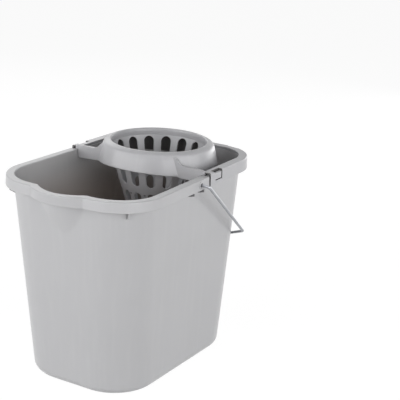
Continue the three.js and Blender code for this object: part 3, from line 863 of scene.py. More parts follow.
@dataclass
class Bucket:
    """Moulded pail: shell, webs under the rim and the bail's two eyes."""

    form: TubForm
    base_edge: float = 11.0
    foot_ring: float = 13.0  # width of the ring that it stands on
    foot_round: float = 0.5
    foot_slope: float = 0.8
    foot_flat: float = 3.0  # plain band on either side of that slope
    panel_rise: float = 1.5  # of the base inside that ring
    panel_rings: tuple[float, ...] = (-24.0, -6.0)  # inside the standing ring
    floor: float = 3.0
    floor_ring: float = 20.0  # inside the floor's rounded edge
    low_rings: tuple[float, float, int] = (40.0, 29.0, 6)  # first height, spacing and number
    spout_rings: tuple[float, float, int] = (205.0, 3.5, 18)
    rim_rings: tuple[float, ...] = (0.0, 4.0, 8.0)  # above the skirt's foot
    under_round: float = 1.5  # where the rim's underside meets the wall and the skirt
    rim_edge: float = 1.8
    inner_edge: float = 1.6
    rim_crown: float = 3.4  # where the rim's top is unstepped, from the wall
    straight_up: float = 12.0  # above the skirt's foot, where the inner face stops leaning
    pivot: Flat = PIVOT
    eye: float = 6.0  # diameters of the eye and of the boss round it
    boss: float = 12.0
    boss_rise: float = 0.6
    boss_edge: float = 0.3
    web: float = 2.3
    web_overlap: float = 0.8
    hidden_web: Web = Web(8.4, 0.6, 2.5)
    pivot_web: Web = Web(8.4, 5.2, 7.6)
    corner_web: Web = Web(6.0, 6.6, 11.0)
    webs_by_pivot: float = 12.6
    webs_along: tuple[float, ...] = (-92.0, -42.0, 17.2, 58.0, 100.0)
    web_turns: Flat = (46.0, 45.0)  # in the front corners and in the rear ones
    pocket: Flat = (23.0, 43.8)  # along X, behind the wringer's tongue
    pocket_foot: float = 270.9
    relief: Flat = (0.7, 3.5)  # slot from the seat's start, along X
    relief_foot: float = 2.5  # above the skirt's foot
    opening_depth: float = 5.0  # inward from the stepped face
    margin: float = 1.0  # webs run this far into the wall, and cuts past the faces that they open
    web_ease: Flat = (0.4, 1.0)  # chamfer inside the skirt's foot, across and up
    web_inset: float = 0.6  # a web's toe keeps this far inside the skirt
    web_tilt: float = 0.4  # share of its normal by which a web's side may lean
    inward: float = 0.5  # share of its normal by which an inside face looks in

    def climb(self) -> list[float]:
        """Heights of the wall's rings, close together round the spout."""
        return [start + pitch * i for start, pitch, count in (self.low_rings, self.spout_rings)
                for i in range(count)]

    def underside(self) -> list[Level]:
        """Recessed panel, standing ring and rounded bottom edge.

        Returns:
            The rings, from the middle of the base outward.
        """
        form = self.form
        base = form.at(0)
        inset = -self.base_edge - self.foot_ring
        levels = [Level(base, inset + grow, self.panel_rise) for grow in self.panel_rings]
        step = [(inset - self.foot_flat, self.panel_rise, 0), (inset, self.panel_rise, self.foot_round),
                (inset + self.foot_slope, 0, self.foot_round), (inset + self.foot_flat, 0, 0)]
        levels += [Level(base, offset, z) for offset, z in rounded(step, 3)]
        for turn in range(0, 91, 9):
            z = self.base_edge * (1 - math.cos(math.radians(turn)))
            levels.append(Level(form.at(z), -self.base_edge * (1 - math.sin(math.radians(turn))), z))
        return levels

    def outside(self) -> list[Level]:
        """Outer face of the wall up to the rim's underside.

        Returns:
            The rings, from the rounded bottom edge up.
        """
        form = self.form
        levels = [Level(form.at(z), 0, z) for z in self.climb()]
        return levels + [Level(form.mouth, 0, form.skirt_foot + rise) for rise in self.rim_rings]

    def rim(self) -> list[Level]:
        """Rim and skirt, down the skirt's inner face and up over its outer one.

        Returns:
            The rings, from the wall's outer face round to its inner one.
        """
        form, top, bend, half = self.form, self.form.rim_top, self.under_round, self.form.sheet / 2
        mouth, foot, reach = form.mouth, form.skirt_foot, form.reach
        outer, inner = form.seat_start, form.seat_start - form.wall
        under = top - form.sheet
        levels = [Level(mouth, *spot) for spot in arc((bend, under - bend), bend, 180, 90, 4)]
        hollow = arc((reach - form.sheet - bend, under - bend), bend, 90, 0, 4)
        levels += [Level(mouth, *spot, inner) for spot in hollow]
        foot_turn = arc((reach + form.draft - half, foot + half), half, 180, 360, 8)
        levels += [Level(mouth, *spot, inner if i < 4 else outer) for i, spot in enumerate(foot_turn)]
        shoulder = arc((reach - self.rim_edge, top - self.rim_edge), self.rim_edge, 0, 90, 6)
        levels += [Level(mouth, *spot, outer) for spot in shoulder]
        levels.append(Level(mouth, self.rim_crown, top))
        lip = arc((self.inner_edge - form.wall, top - self.inner_edge), self.inner_edge, 90, 180, 6)
        levels += [Level(form.at(min(z, foot + self.straight_up)), offset, z) for offset, z in lip]
        return levels

    def inside(self) -> list[Level]:
        """Inner face of the wall, rounded bottom and floor.

        Returns:
            The rings, from the rim down.
        """
        form = self.form
        heights = self.climb() + [form.skirt_foot + rise for rise in self.rim_rings]
        levels = [Level(form.at(z), -form.wall, z) for z in reversed(heights)]
        floor_top = self.panel_rise + self.floor
        bend = self.base_edge - form.wall
        bottom = arc((-form.wall - bend, floor_top + bend), bend, 0, -90, 8)
        levels += [Level(form.at(z), offset, z) for offset, z in bottom]
        return levels + [Level(form.at(floor_top), -form.wall - bend - self.floor_ring, floor_top)]

    def shell(self) -> bpy.types.Object:
        """One continuous skin from the base over the rim to the floor.

        Returns:
            The closed solid.
        """
        stations = self.form.stations()
        levels = self.underside() + self.outside() + self.rim() + self.inside()
        rings = [self.form.ring(level, stations) for level in levels]
        builder = MeshBuilder()
        builder.skin(rings)
        builder.fan(rings[0])
        builder.fan(rings[-1])
        return builder.make("bucket_shell")

    def web_at(self, station: Station, angle: float, foot: Web, stepped: bool) -> bpy.types.Object:
        """Upright web between the wall and the skirt.

        Args:
            station: Where it stands.
            angle: Direction outward, in radians.
            foot: Its lower end.
            stepped: Whether the rim is stepped in there.

        Returns:
            The closed solid.
        """
        form = self.form
        low, high, ease = form.skirt_foot, form.rim_top - form.sheet + self.web_overlap, self.web_ease
        x, y, _ = form.place(station, form.mouth, 0, low)
        reach = form.reach - form.sheet + self.web_overlap - (form.seat_depth if stepped else 0)
        profile = [
            (-self.margin, high), (reach, high), (reach, low + ease[1]), (reach - ease[0], low),
            (min(foot.reach, reach - self.web_inset), low - foot.toe), (-form.wall / 2, low - foot.root),
        ]
        out = Vector((math.cos(angle), math.sin(angle), 0))
        across = Vector((-out.y, out.x, 0)) * self.web
        start = Vector((x, y, 0)) - across / 2
        points = [tuple(start + out * u + Vector((0, 0, v))) for u, v in profile]
        return prism(points, across)

    def webs(self) -> list[bpy.types.Object]:
        """Every web: beside the eyes, along the sides and in the corners.

        Returns:
            Their solids.
        """
        made = []
        for side in (-1, 1):
            spots = [(self.pivot[0] + way * self.webs_by_pivot, self.pivot_web) for way in (-1, 1)]
            spots += [(x, self.hidden_web) for x in self.webs_along]
            for x, foot in spots:
                stepped = x > self.form.seat_start
                made.append(self.web_at(Station(Run.SIDE, side, x=x), side * math.pi / 2, foot, stepped))
            for rear, turn in zip((False, True), self.web_turns):
                station = Station(Run.CORNER, side, rear, turn=turn)
                lean = math.radians(turn)
                angle = math.atan2(side * math.sin(lean), (1 if rear else -1) * math.cos(lean))
                made.append(self.web_at(station, angle, self.hidden_web if rear else self.corner_web, rear))
        return made

    def seat_openings(self, side: int) -> list[Span]:
        """Pocket behind the wringer's tongue and slot at the front end of the seat.

        Args:
            side: -1 near, 1 far.

        Returns:
            What is cut out for each.
        """
        form = self.form
        face = form.skirt_face(sum(self.pocket) / 2, form.rim_top)
        across = mirrored(side, face - form.seat_depth - self.opening_depth, face + self.margin)
        high = form.rim_top + self.margin
        slot = tuple(form.seat_start + end for end in self.relief)
        return [
            (self.pocket, across, (self.pocket_foot, high)),
            (slot, across, (form.skirt_foot + self.relief_foot, high)),
        ]

    def eye_at(self, side: int) -> tuple[bpy.types.Object, bpy.types.Object]:
        """Boss on the skirt round the bail's eye, and the eye.

        Args:
            side: -1 near, 1 far.

        Returns:
            The boss and what is cut out of it.
        """
        form, (x, z) = self.form, self.pivot
        face, radius = form.skirt_face(x, z), self.boss / 2
        start, end = face - form.sheet / 2, face + self.boss_rise
        crown = [(radius, start), (radius, end - self.boss_edge), (radius - self.boss_edge, end)]
        hole = [(self.eye / 2, face - self.eye), (self.eye / 2, face + self.eye)]
        return tuple(bar((x, 0, z), [(r, side * y) for r, y in line]) for line in (crown, hole))

    def outward(self, centre: Vector) -> Vector:
        """Level direction away from the wall.

        Args:
            centre: A place round the pail.

        Returns:
            The direction there.
        """
        mouth = self.form.mouth
        x, y = centre.x - mouth.x, centre.y
        radius = mouth.rear if x > 0 else mouth.front
        past_x = max(abs(x) - mouth.length + radius, 0.0)
        past_y = max(abs(y) - mouth.width + radius, 0.0)
        return Vector((math.copysign(past_x, x), math.copysign(past_y, y))).normalized()

    def on_web(self, centre: Vector, normal: Vector) -> bool:
        """Whether a face is the side of a web, which looks neither outward, up nor down.

        Args:
            centre: The face's middle.
            normal: Its normal.

        Returns:
            Whether it is.
        """
        form = self.form
        low = form.skirt_foot - self.corner_web.root - self.margin
        lean = max(abs(normal.xy.dot(self.outward(centre))), abs(normal.z))
        return low < centre.z < form.rim_top - form.sheet and lean < self.web_tilt

    def kind_of(self, centre: Vector, normal: Vector) -> PailFace:
        """Kind of a face.

        Args:
            centre: The face's middle.
            normal: Its normal.

        Returns:
            Its kind.
        """
        # faces in the seat's pocket and slot take the painted near-black shade
        if within(centre, self.seat_openings(1 if centre.y > 0 else -1)):
            return PailFace.OPENING
        # the webs' sides take the painted grey shade
        if self.on_web(centre, normal):
            return PailFace.WEB
        wall = -normal.xy.dot(centre.xy.normalized()) > self.inward
        floor = normal.z > self.inward and centre.z < self.base_edge
        below_rim = centre.z < self.form.rim_top - self.margin
        return PailFace.INSIDE if below_rim and (wall or floor) else PailFace.OUTSIDE

    def build(self) -> bpy.types.Object:
        """Join the shell, webs and eyes into the pail, and open the seat's pockets.

        Returns:
            The pail, with its faces numbered by kind.
        """
        body = self.shell()
        for web in self.webs():
            combine(body, web, Operation.JOIN)
        for side in (-1, 1):
            boss, hole = self.eye_at(side)
            combine(body, boss, Operation.JOIN)
            combine(body, hole, Operation.CUT)
            for opening in self.seat_openings(side):
                combine(body, block(opening), Operation.CUT)
        smooth(body)
        number_faces(body, self.kind_of)
        return body

    def dress(self) -> bpy.types.Object:
        """Build and finish the pail in place of its CAD node."""
        finishes = (BUCKET_FINISH, BUCKET_INSIDE, BUCKET_OPENING_PAINTED_SHADE, BUCKET_SHADED)
        return settle(self.build(), "pail", finishes, "bucket", "bucket")


# ---------------------------------------------------------------- the strainer

@dataclass(frozen=True)
class SlotRow:
    """Ring of upright slots in the strainer cone, by the heights of their round ends."""

    top: float
    bottom: float
    upper_edge: float  # the band of wall that holds the row
    lower_edge: float


@dataclass
class StrainerBowl:
    """Perforated cone with a rolled lip and a collar that hangs outside it."""

    x: float = 61.9  # of its upright axis
    wall: float = 2.4
    crest: float = WRINGER_TOP
    foot: float = WRINGER_FOOT
    mouth: float = 66.8  # inner radius at the throat
    throat: float = 291.5  # height at which the cone begins
    slope: float = 0.3075  # radius gained per millimetre of height
    inner_lip: tuple[Corner, ...] = ((69.5, 299.6, 1.2), (75.0, 297.4, 3.0), (76.6, 292.0, 2.0),
                                     (81.0, 280.0, 0.0))  # under the lip and down inside the collar
    roll: tuple[Corner, ...] = ((84.0, 278.6, 0.0), (81.9, 284.6, 6.0), (79.3, 292.6, 8.0),
                                (76.9, 298.6, 6.5), (70.6, 301.45, 6.5), (67.4, 301.3, 1.7),
                                (66.8, 297.4, 6.0), (66.8, 292.0, 0.0))  # up the collar and over the lip
    core: tuple[Flat, ...] = ((80.4, 284.6), (77.8, 292.6), (75.4, 297.5), (70.2, 300.2))  # in its wall
    hem: float = 84.9  # radius of the collar's lower edge
    hem_round: float = 1.0
    hem_inset: float = 1.15  # from the collar's outer edge to the middle of that round
    hem_inner: Flat = (82.4, 275.4)  # where the collar's inner face thickens into the hem
    hem_front: float = 274.4
    hem_drop: float = 6.6  # how much lower it reaches at the sides
    hem_back: float = 12.0  # how much lower it reaches at the back, inside the pail
    dip_start: float = 293.0  # the collar's rings follow the hem below this height
    dip_length: float = 15.0
    foot_round: float = 3.0
    slots: int = 16
    slot_turn: float = 12.3  # degrees that a slot spans
    edge: float = 0.5
    rows: tuple[SlotRow, ...] = (SlotRow(289.7, 245.0, 291.5, 240.0), SlotRow(234.5, 192.0, 239.0, 187.0))
    slot_sides: int = 28  # steps up a slot's side, an even number
    end_steps: int = 4  # those of them that lie on each round end
    drains: int = 8
    drain_circle: float = 18.0
    drain: float = 7.0
    drain_edge: Flat = (11.0, 25.0)  # inner and outer edge of the band that they are in
    drain_sides: int = 16
    centre_hole: float = 11.0
    across: int = 12  # steps over one slot's share of the turn
    cavity: float = 1.0  # from the cone's outer face, where the painted shade between cone and collar begins
    cavity_tilt: float = 0.2  # share of its normal by which a face there looks in

    @property
    def around(self) -> int:
        """Steps round the whole bowl."""
        return self.slots * self.across

    @property
    def floor(self) -> float:
        """Height of the floor's upper face."""
        return self.foot + self.wall

    def radius(self, z: float) -> float:
        """Outer radius of the cone at a height."""
        return self.mouth + self.wall + (z - self.throat) * self.slope

    def dip(self, z: float) -> float:
        """Share of the hem's drop that a ring of the collar follows."""
        return clamp((self.dip_start - z) / self.dip_length)

    def on_cone(self, turn: float, z: float, depth: float) -> Point:
        """Point of the cone at a turn and height, so deep under its outer face."""
        r = self.radius(z) - depth
        return self.x + r * math.cos(turn), r * math.sin(turn), z

    def on_floor(self, turn: float, distance: float, depth: float) -> Point:
        """Point of the floor at a turn and distance, so far above its lower face."""
        z = self.foot + depth
        return self.x + distance * math.cos(turn), distance * math.sin(turn), z

    def ring(self, radius: float, z: float, dip: float = 0.0) -> list[Point]:
        """Full ring that dips toward the sides and the back.

        Args:
            radius: Its radius.
            z: Its height at the front.
            dip: Share of the hem's drop that it follows.

        Returns:
            The points.
        """
        ring = []
        for i in range(self.around):
            t = 2 * math.pi * (i - self.across / 2) / self.around
            drop = self.hem_drop * math.sin(t) ** 2 + self.hem_back * max(math.cos(t), 0) ** 2
            ring.append((self.x + radius * math.cos(t), radius * math.sin(t), z - dip * drop))
        return ring

    def frame_of(self, middle: float, step: float, low: float, high: float, sides: int) -> list[Flat]:
        """Rectangle round a hole, from the middle of its right side anticlockwise.

        Args:
            middle: The turn at its middle.
            step: The turn that it spans.
            low: Lowest second coordinate.
            high: Highest second coordinate.
            sides: Steps up each side, an even number.

        Returns:
            The points, as many as the hole's outline has.
        """
        across = round(step / (2 * math.pi) * self.around)
        start, end = middle - step / 2, middle + step / 2
        centre, half = (low + high) / 2, sides // 2
        line = [(end, lerp(centre, high, i / half)) for i in range(half)]
        line += [(lerp(end, start, i / across), high) for i in range(across)]
        line += [(start, lerp(high, low, i / sides)) for i in range(sides)]
        line += [(lerp(start, end, i / across), low) for i in range(across)]
        line += [(end, lerp(low, centre, i / half)) for i in range(half)]
        return line

    def perforate(self, builder: MeshBuilder, place: Callable[[float, float, float], Point],
                  rim: Sequence[Flat], outline: Callable[[float], list[Flat]], rings: int) -> None:
        """Sheet between a frame and a hole with eased edges, as thick as the wall.

        Args:
            builder: Where the faces go.
            place: Gives a point from the sheet's two coordinates and a depth.
            rim: The frame.
            outline: The hole's outline widened by a distance.
            rings: Rows of faces between frame and hole.
        """
        wide = outline(self.edge)

        def spread(share: float, depth: float) -> list[Point]:
            """Ring at a share of the way from the frame to the hole."""
            return [place(lerp(a, c, share), lerp(b, d, share), depth) for (a, b), (c, d) in zip(rim, wide)]

        loops = [spread(i / rings, 0) for i in range(rings)]
        for depth, start, end in ((self.edge, -90, -180), (self.wall - self.edge, 180, 90)):
            for grow, deep in arc((self.edge, depth), self.edge, start, end, 3):
                loops.append([place(a, b, deep) for a, b in outline(grow)])
        loops += [spread(i / rings, self.wall) for i in reversed(range(rings))]
        builder.skin(loops)

    def slot_outline(self, row: SlotRow, middle: float, grow: float) -> list[Flat]:
        """Round-ended slot that widens upward with the cone, from its right side anticlockwise.

        Args:
            row: The row it is in.
            middle: The turn at its middle.
            grow: How far it is widened, in millimetres.

        Returns:
            The outline as (turn, height).
        """
        tilt = math.cos(math.atan(self.slope))
        reach = math.sin(math.radians(self.slot_turn / 2))
        upper, lower = self.radius(row.top) * reach, self.radius(row.bottom) * reach
        high, low = row.top / tilt - upper, row.bottom / tilt + lower
        straight = self.slot_sides // 2 - self.end_steps
        end = self.across + 2 * self.end_steps

        def flank(first: float, last: float) -> list[Flat]:
            """Half of the straight right side, between two shares of its height."""
            shares = [lerp(first, last, i / straight) for i in range(straight)]
            return [(lerp(lower, upper, share) + grow, lerp(low, high, share)) for share in shares]

        line = flank(0.5, 1)
        line += arc((0, high), upper + grow, 0, 180, end)[:-1]
        line += [(-u, v) for u, v in flank(1, 0.5) + flank(0.5, 0)]
        line += arc((0, low), lower + grow, 180, 360, end)[:-1]
        line += flank(0, 0.5)
        return [(middle + u / self.radius(v * tilt), v * tilt) for u, v in line]

    def drain_outline(self, middle: float, grow: float, count: int) -> list[Flat]:
        """Round drain hole, from its right side anticlockwise.

        Args:
            middle: The turn at its middle.
            grow: How far it is widened, in millimetres.
            count: Number of points.

        Returns:
            The outline as (turn, distance).
        """
        r, circle = self.drain / 2 + grow, self.drain_circle
        return [(middle + r * math.cos(t) / circle, circle + r * math.sin(t)) for t in turns(count)]

    def slot_rows(self, builder: MeshBuilder) -> None:
        """Both rows of slots.

        Args:
            builder: Where the faces go.
        """
        step = 2 * math.pi / self.slots
        for row in self.rows:
            for i in range(self.slots):
                rim = self.frame_of(i * step, step, row.lower_edge, row.upper_edge, self.slot_sides)
                self.perforate(builder, self.on_cone, rim, partial(self.slot_outline, row, i * step), 3)

    def drained_floor(self, builder: MeshBuilder) -> None:
        """Floor with its drains and centre hole.

        Args:
            builder: Where the faces go.
        """
        step = 2 * math.pi / self.drains
        inner, outer = self.drain_edge
        for i in range(self.drains):
            middle = (i + 0.5) * step - math.pi / self.slots
            rim = self.frame_of(middle, step, inner, outer, self.drain_sides)
            hole = partial(self.drain_outline, middle, count=len(rim))
            self.perforate(builder, self.on_floor, rim, hole, 2)
        edge, centre = self.edge, self.centre_hole / 2
        section = [(inner, self.foot)]
        section += arc((centre + edge, self.foot + edge), edge, -90, -180, 3)
        section += arc((centre + edge, self.floor - edge), edge, 180, 90, 3)
        section.append((inner, self.floor))
        builder.skin([self.ring(r, z) for r, z in section])

    def lip(self) -> list[list[Point]]:
        """Lip and collar, from the cone's outer face round the hem to its inner face.

        Returns:
            The rings.
        """
        neck, start = self.rows[0].upper_edge, self.mouth + self.wall
        under = [(r, z, self.dip(z)) for r, z in rounded([(start, self.throat + 0.1, 0), *self.inner_lip], 4)]
        hem = arc((self.hem - self.hem_inset, self.hem_front + self.hem_round), self.hem_round,
                  200, 360, 8)
        over = [(r, z, self.dip(z)) for r, z in rounded(self.roll, 7)]
        section = [(self.radius(neck), neck, 0.0), *under, (*self.hem_inner, 1.0)]
        section += [(r, z, 1.0) for r, z in hem]
        section += [*over, (self.radius(neck) - self.wall, neck, 0.0)]
        return [self.ring(*spot) for spot in section]

    def build(self) -> bpy.types.Object:
        """Close the cone, its lip, its collar and its floor into one skin.

        Returns:
            The closed solid.
        """
        builder = MeshBuilder()
        builder.skin(self.lip())
        self.slot_rows(builder)
        upper, lower = self.rows
        last, wall, low = self.drain_edge[1], self.wall, lower.lower_edge
        for depth in (0.0, wall):
            heights = [upper.lower_edge, lower.upper_edge]
            builder.skin([self.ring(self.radius(z) - depth, z) for z in heights])
        under = [(self.radius(low), low, 0), (self.radius(self.foot), self.foot, self.foot_round + wall),
                 (last, self.foot, 0)]
        over = [(self.radius(low) - wall, low, 0),
                (self.radius(self.floor) - wall, self.floor, self.foot_round), (last, self.floor, 0)]
        for line in (under, over):
            builder.skin([self.ring(r, z) for r, z in rounded(line, 6)])
        self.drained_floor(builder)
        return builder.make("bowl")

    def inner_core(self) -> bpy.types.Object:
        """Everything inside the collar's wall, which trims what is joined to its outside.

        Returns:
            The closed solid.
        """
        edge, foot = self.hem - self.wall / 2, self.hem_front - self.hem_drop
        profile = [(edge, foot - self.hem_back), (edge, foot), *self.core, (self.core[-1][0], self.crest + 9)]
        builder = MeshBuilder()
        builder.skin([self.ring(r, z) for r, z in profile], ends=True)
        return builder.make("core")

    def faces_cavity(self, centre: Vector, normal: Vector) -> bool:
        """Whether a face of the collar looks at the cone, where hardly any light gets in.

        Args:
            centre: The face's middle.
            normal: Its normal.

        Returns:
            Whether it does.
        """
        out = centre.xy - Vector((self.x, 0))
        between = self.radius(centre.z) + self.cavity < out.length < self.hem
        return between and -normal.xy.dot(out.normalized()) > self.cavity_tilt


# ---------------------------------------------------------------- the wringer

class WringerFace(Enum):
    """Kind of face on the wringer, by the number of its finish."""

    OPEN = 0
    # painted dark shade in the collar's cavity, in the slits and on the cap's front ends
    HIDDEN = 1


@dataclass
class Wringer:
    """Strainer bowl with the arms, bridge and cap that hang it on the rear of the rim."""

    form: TubForm
    bowl: StrainerBowl = field(default_factory=StrainerBowl)
    sheet: float = 3.2
    lip: float = -2.0  # inner edge, from the wall's outer face
    lip_round: float = 0.6
    hollow_round: float = 1.0
    foot_round: float = 0.7
    root: float = 1.4  # outer end of the arms and the bridge
    edge: float = 1.8
    mouth_sheet: float = 1.8  # the cap's front ends are thinner
    mouth_length: float = 10.0
    mouth_taper: float = 1.2
    mouth_gap: float = 3.8  # from where the rim's step begins to the cap's front ends
    mouth_face: float = 0.1  # faces this near the front ends belong to them
    snap: tuple[float, float, float] = (22.0, 26.0, 44.0)  # tongue's start, root and end along X
    slit: float = 1.5
    end_slit: float = 2.6
    top_slit: float = 3.2
    slit_reach: float = 4.0  # past the cap's outer face
    snap_drop: float = 2.5
    snap_foot: float = 272.2
    notch: tuple[float, float, float] = (21.0, 2.4, 3.4)  # length, depth and width
    notch_turn: float = 13.5
    arm_front: float = 8.0
    arm_thickness: float = 5.0
    arm_inner: float = 50.0  # well inside the collar, which trims it
    arm_top: float = 286.2
    arm_foot: Flat = (270.5, 268.4)  # lower edge at the collar and at the wall
    arm_foot_round: float = 3.0
    arm_end: tuple[float, float, float] = (2.2, 1.6, 2.5)  # rounded upper end: length, drop and radius
    arm_fillet: tuple[Flat, ...] = ((72.0, 0.6), (68.6, 2.0), (65.6, 4.2), (62.8, 7.2), (60.6, 9.4))
    arm_fillet_round: float = 9.0
    arm_edges: tuple[float, float, float] = (1.7, 0.8, 0.5)  # upper front, upper rear and lower edges
    arm_web: float = 9.0
    bridge_half: float = 26.0
    bridge_top: float = 286.5
    bridge_round: float = 2.0
    bridge_edge: float = 1.4

    @property
    def top(self) -> float:
        """Height of the cap's top."""
        return self.form.rim_top + CLEARANCE + self.sheet

    @property
    def seated(self) -> float:
        """Height at which the wringer rests over the rim."""
        return self.form.rim_top + CLEARANCE

    @property
    def front(self) -> float:
        """Where the cap's two front ends stand."""
        return self.form.seat_start + self.mouth_gap

    def section(self, sheet: float) -> list[Flat]:
        """Closed section of the cap.

        Args:
            sheet: Its thickness.

        Returns:
            The points as (offset from the wall, height).
        """
        form = self.form
        reach, foot, lean = form.reach, form.skirt_foot, form.reach + form.draft
        line = [
            (self.lip, self.top - sheet / 2, 0), (self.lip, self.top, self.lip_round),
            (reach, self.top, self.edge), (lean, foot, self.foot_round),
            (lean - sheet, foot, self.foot_round), (reach - sheet, self.top - sheet, self.hollow_round),
            (self.lip, self.top - sheet, self.lip_round), (self.lip, self.top - sheet / 2, 0),
        ]
        return rounded(line, 5)[:-1]

    def cap(self) -> bpy.types.Object:
        """Angle section run round the rear of the rim, thinner at its two front ends.

        Returns:
            The closed solid.
        """
        form, thick = self.form, self.front + self.mouth_length
        ends = [(self.front, self.mouth_sheet), (thick, self.mouth_sheet),
                (thick + self.mouth_taper, self.sheet)]
        line = [(Station(Run.SIDE, -1, x=x), sheet) for x, sheet in ends]
        line += [(station, self.sheet) for station in form.rear_end()]
        line += [(Station(Run.SIDE, 1, x=x), sheet) for x, sheet in reversed(ends)]
        builder = MeshBuilder()
        builder.skin([
            [form.place(station, form.mouth, offset, z) for offset, z in self.section(sheet)]
            for station, sheet in line
        ], ends=True)
        return builder.make("cap")

    def slits(self, side: int) -> list[Span]:
        """Slits that free a springy tongue in the cap's side.

        Args:
            side: -1 near, 1 far.

        Returns:
            What is cut out over, behind and under the tongue.
        """
        start, root, end = self.snap
        face = self.form.skirt_face((start + end) / 2, self.form.rim_top)
        inner, outer = face - self.sheet - CLEARANCE, face + self.slit_reach
        above, foot = self.top + self.slit, self.snap_foot
        return [
            ((start, end), mirrored(side, inner - self.top_slit, inner), (self.form.rim_top, above)),
            ((end - self.end_slit, end), mirrored(side, inner - self.slit / 2, outer), (foot, above)),
            ((root, end), mirrored(side, inner - self.slit, outer), (foot - self.slit, foot)),
        ]

    def lowered_top(self, side: int) -> Span:
        """What is cut off a tongue's top."""
        x, y, z = self.slits(side)[1]
        return (self.snap[0], x[1]), y, (self.top - self.snap_drop, z[1])

    def corner_notch(self, side: int) -> bpy.types.Object:
        """Shallow step in the cap's outer edge at a rear corner.

        Args:
            side: -1 near, 1 far.

        Returns:
            What is cut out.
        """
        form = self.form
        length, depth, width = self.notch
        station = Station(Run.CORNER, side, True, turn=self.notch_turn)
        x, y, _ = form.place(station, form.mouth, form.reach - width, self.top)
        turn = side * math.radians(self.notch_turn)
        out = Vector((math.cos(turn), math.sin(turn), 0))
        along = Vector((-out.y, out.x, 0)) * length
        start = Vector((x, y, self.top - depth)) - along / 2
        rise = Vector((0, 0, 2 * depth))
        corners = [start, start + out * 4 * width, start + out * 4 * width + rise, start + rise]
        return prism([tuple(c) for c in corners], along)

    def arm_radius(self, a: Vector, b: Vector) -> float:
        """Radius for an edge of an arm: the front upper edge is the roundest.

        Args:
            a: One end of the edge.
            b: Its other end.

        Returns:
            The radius, 0 for an edge that stays sharp.
        """
        form = self.form
        low, inmost = min(a.z, b.z), min(abs(a.y), abs(b.y))
        over_rim = low < self.seated + 1 and inmost > self.arm_toe() - 0.5
        if abs(a.x - b.x) > SLACK or over_rim or inmost < self.arm_inner + SLACK:
            return 0.0
        front, rear, lower = self.arm_edges
        if low <= form.rim_top + CLEARANCE + 2:
            return lower
        return front if a.x < self.arm_front + SLACK else rear

    def arm_toe(self) -> float:
        """Distance from the middle at which an arm's lower part clears the wall."""
        form = self.form
        return form.side_face(self.arm_front, form.at(self.arm_foot[1]), -form.wall) - 2 * CLEARANCE

    def arm(self, side: int) -> bpy.types.Object:
        """Upright plate from the collar over the rim to the cap.

        Args:
            side: -1 near, 1 far.

        Returns:
            The closed solid.
        """
        end = self.form.side_face(self.arm_front, self.form.mouth, self.root)
        toe, high = self.arm_toe(), self.arm_top
        length, drop, radius = self.arm_end
        fillet = [(y, high + rise, self.arm_fillet_round) for y, rise in self.arm_fillet[:-1]]
        last, lift = self.arm_fillet[-1]
        line = [
            (self.arm_inner, self.arm_foot[0], 0), (toe, self.arm_foot[1], self.arm_foot_round),
            (toe, self.seated, 0), (end, self.seated, 0), (end, high - drop, 0), (end - length, high, radius),
            *fillet, (last, high + lift, 0), (self.arm_inner, high + lift, 0),
        ]
        points = [(self.arm_front, side * y, z) for y, z in rounded(line, 4)]
        return prism(points, Vector((self.arm_thickness, 0, 0)), self.arm_radius)

    def arm_gusset(self, side: int) -> bpy.types.Object:
        """Quarter-round web behind an arm's outer end.

        Args:
            side: -1 near, 1 far.

        Returns:
            The closed solid.
        """
        end = self.form.side_face(self.arm_front, self.form.mouth, self.root)
        start, back, web = self.arm_front + 1, self.arm_front + self.arm_thickness, self.arm_web
        line = [(start, end), (start, end - web - 1), (back, end - web - 1)]
        line += arc((back + web, end - web), web, 180, 90, 10)
        points = [(x, side * y, self.seated) for x, y in line]
        return prism(points, Vector((0, 0, self.top - self.seated)))

    def bridge(self) -> bpy.types.Object:
        """Plate that joins the collar to the cap at the back.

        Returns:
            The closed solid.
        """
        form, high = self.form, self.bridge_top
        rear = form.place(Station(Run.CORNER, 1, True), form.mouth, self.root, 0)[0]
        start = self.bowl.x + self.bowl.mouth
        line = [(start, self.seated, 0), (rear, self.seated, 0), (rear, high, self.bridge_round),
                (start, high, 0)]
        points = [(x, -self.bridge_half, z) for x, z in rounded(line, 5)]

        def radius(a: Vector, b: Vector) -> float:
            """Radius for an edge: only the two long upper edges are rounded."""
            along_x = abs(a.y - b.y) < SLACK < abs(a.x - b.x)
            return self.bridge_edge if along_x and min(a.z, b.z) > self.top else 0.0

        return prism(points, Vector((0, 2 * self.bridge_half, 0)), radius)

    def kind_of(self, centre: Vector, normal: Vector) -> WringerFace:
        """Kind of a face.

        Args:
            centre: The face's middle.
            normal: Its normal.

        Returns:
            Hidden, with painted shade, in the collar's cavity, in the slits and on the cap's front ends, and open
            elsewhere.
        """
        end = abs(centre.x - self.front) < self.mouth_face and normal.x < -FACING
        slit = within(centre, self.slits(1 if centre.y > 0 else -1))
        hidden = end or slit or self.bowl.faces_cavity(centre, normal)
        return WringerFace.HIDDEN if hidden else WringerFace.OPEN

    def build(self) -> bpy.types.Object:
        """Join the cap, arms, bridge and bowl.

        Returns:
            The wringer, with its faces numbered by kind.
        """
        joined = self.arm(-1)
        for piece in (self.arm(1), self.bridge(), self.arm_gusset(-1), self.arm_gusset(1)):
            combine(joined, piece, Operation.JOIN)
        combine(joined, self.bowl.inner_core(), Operation.CUT)
        combine(joined, self.cap(), Operation.JOIN)
        for side in (-1, 1):
            for span in (*self.slits(side), self.lowered_top(side)):
                combine(joined, block(span), Operation.CUT)
            combine(joined, self.corner_notch(side), Operation.CUT)
        body = self.bowl.build()
        combine(body, joined, Operation.JOIN)
        smooth(body)
        number_faces(body, self.kind_of)
        return body

    def dress(self) -> bpy.types.Object:
        """Build and finish the wringer in place of its CAD node."""
        finishes = (WRINGER_FINISH, WRINGER_PAINTED_SHADE)
        return settle(self.build(), "cone_wringer", finishes, "wringer", "wringer")


# ---------------------------------------------------------------- the bail

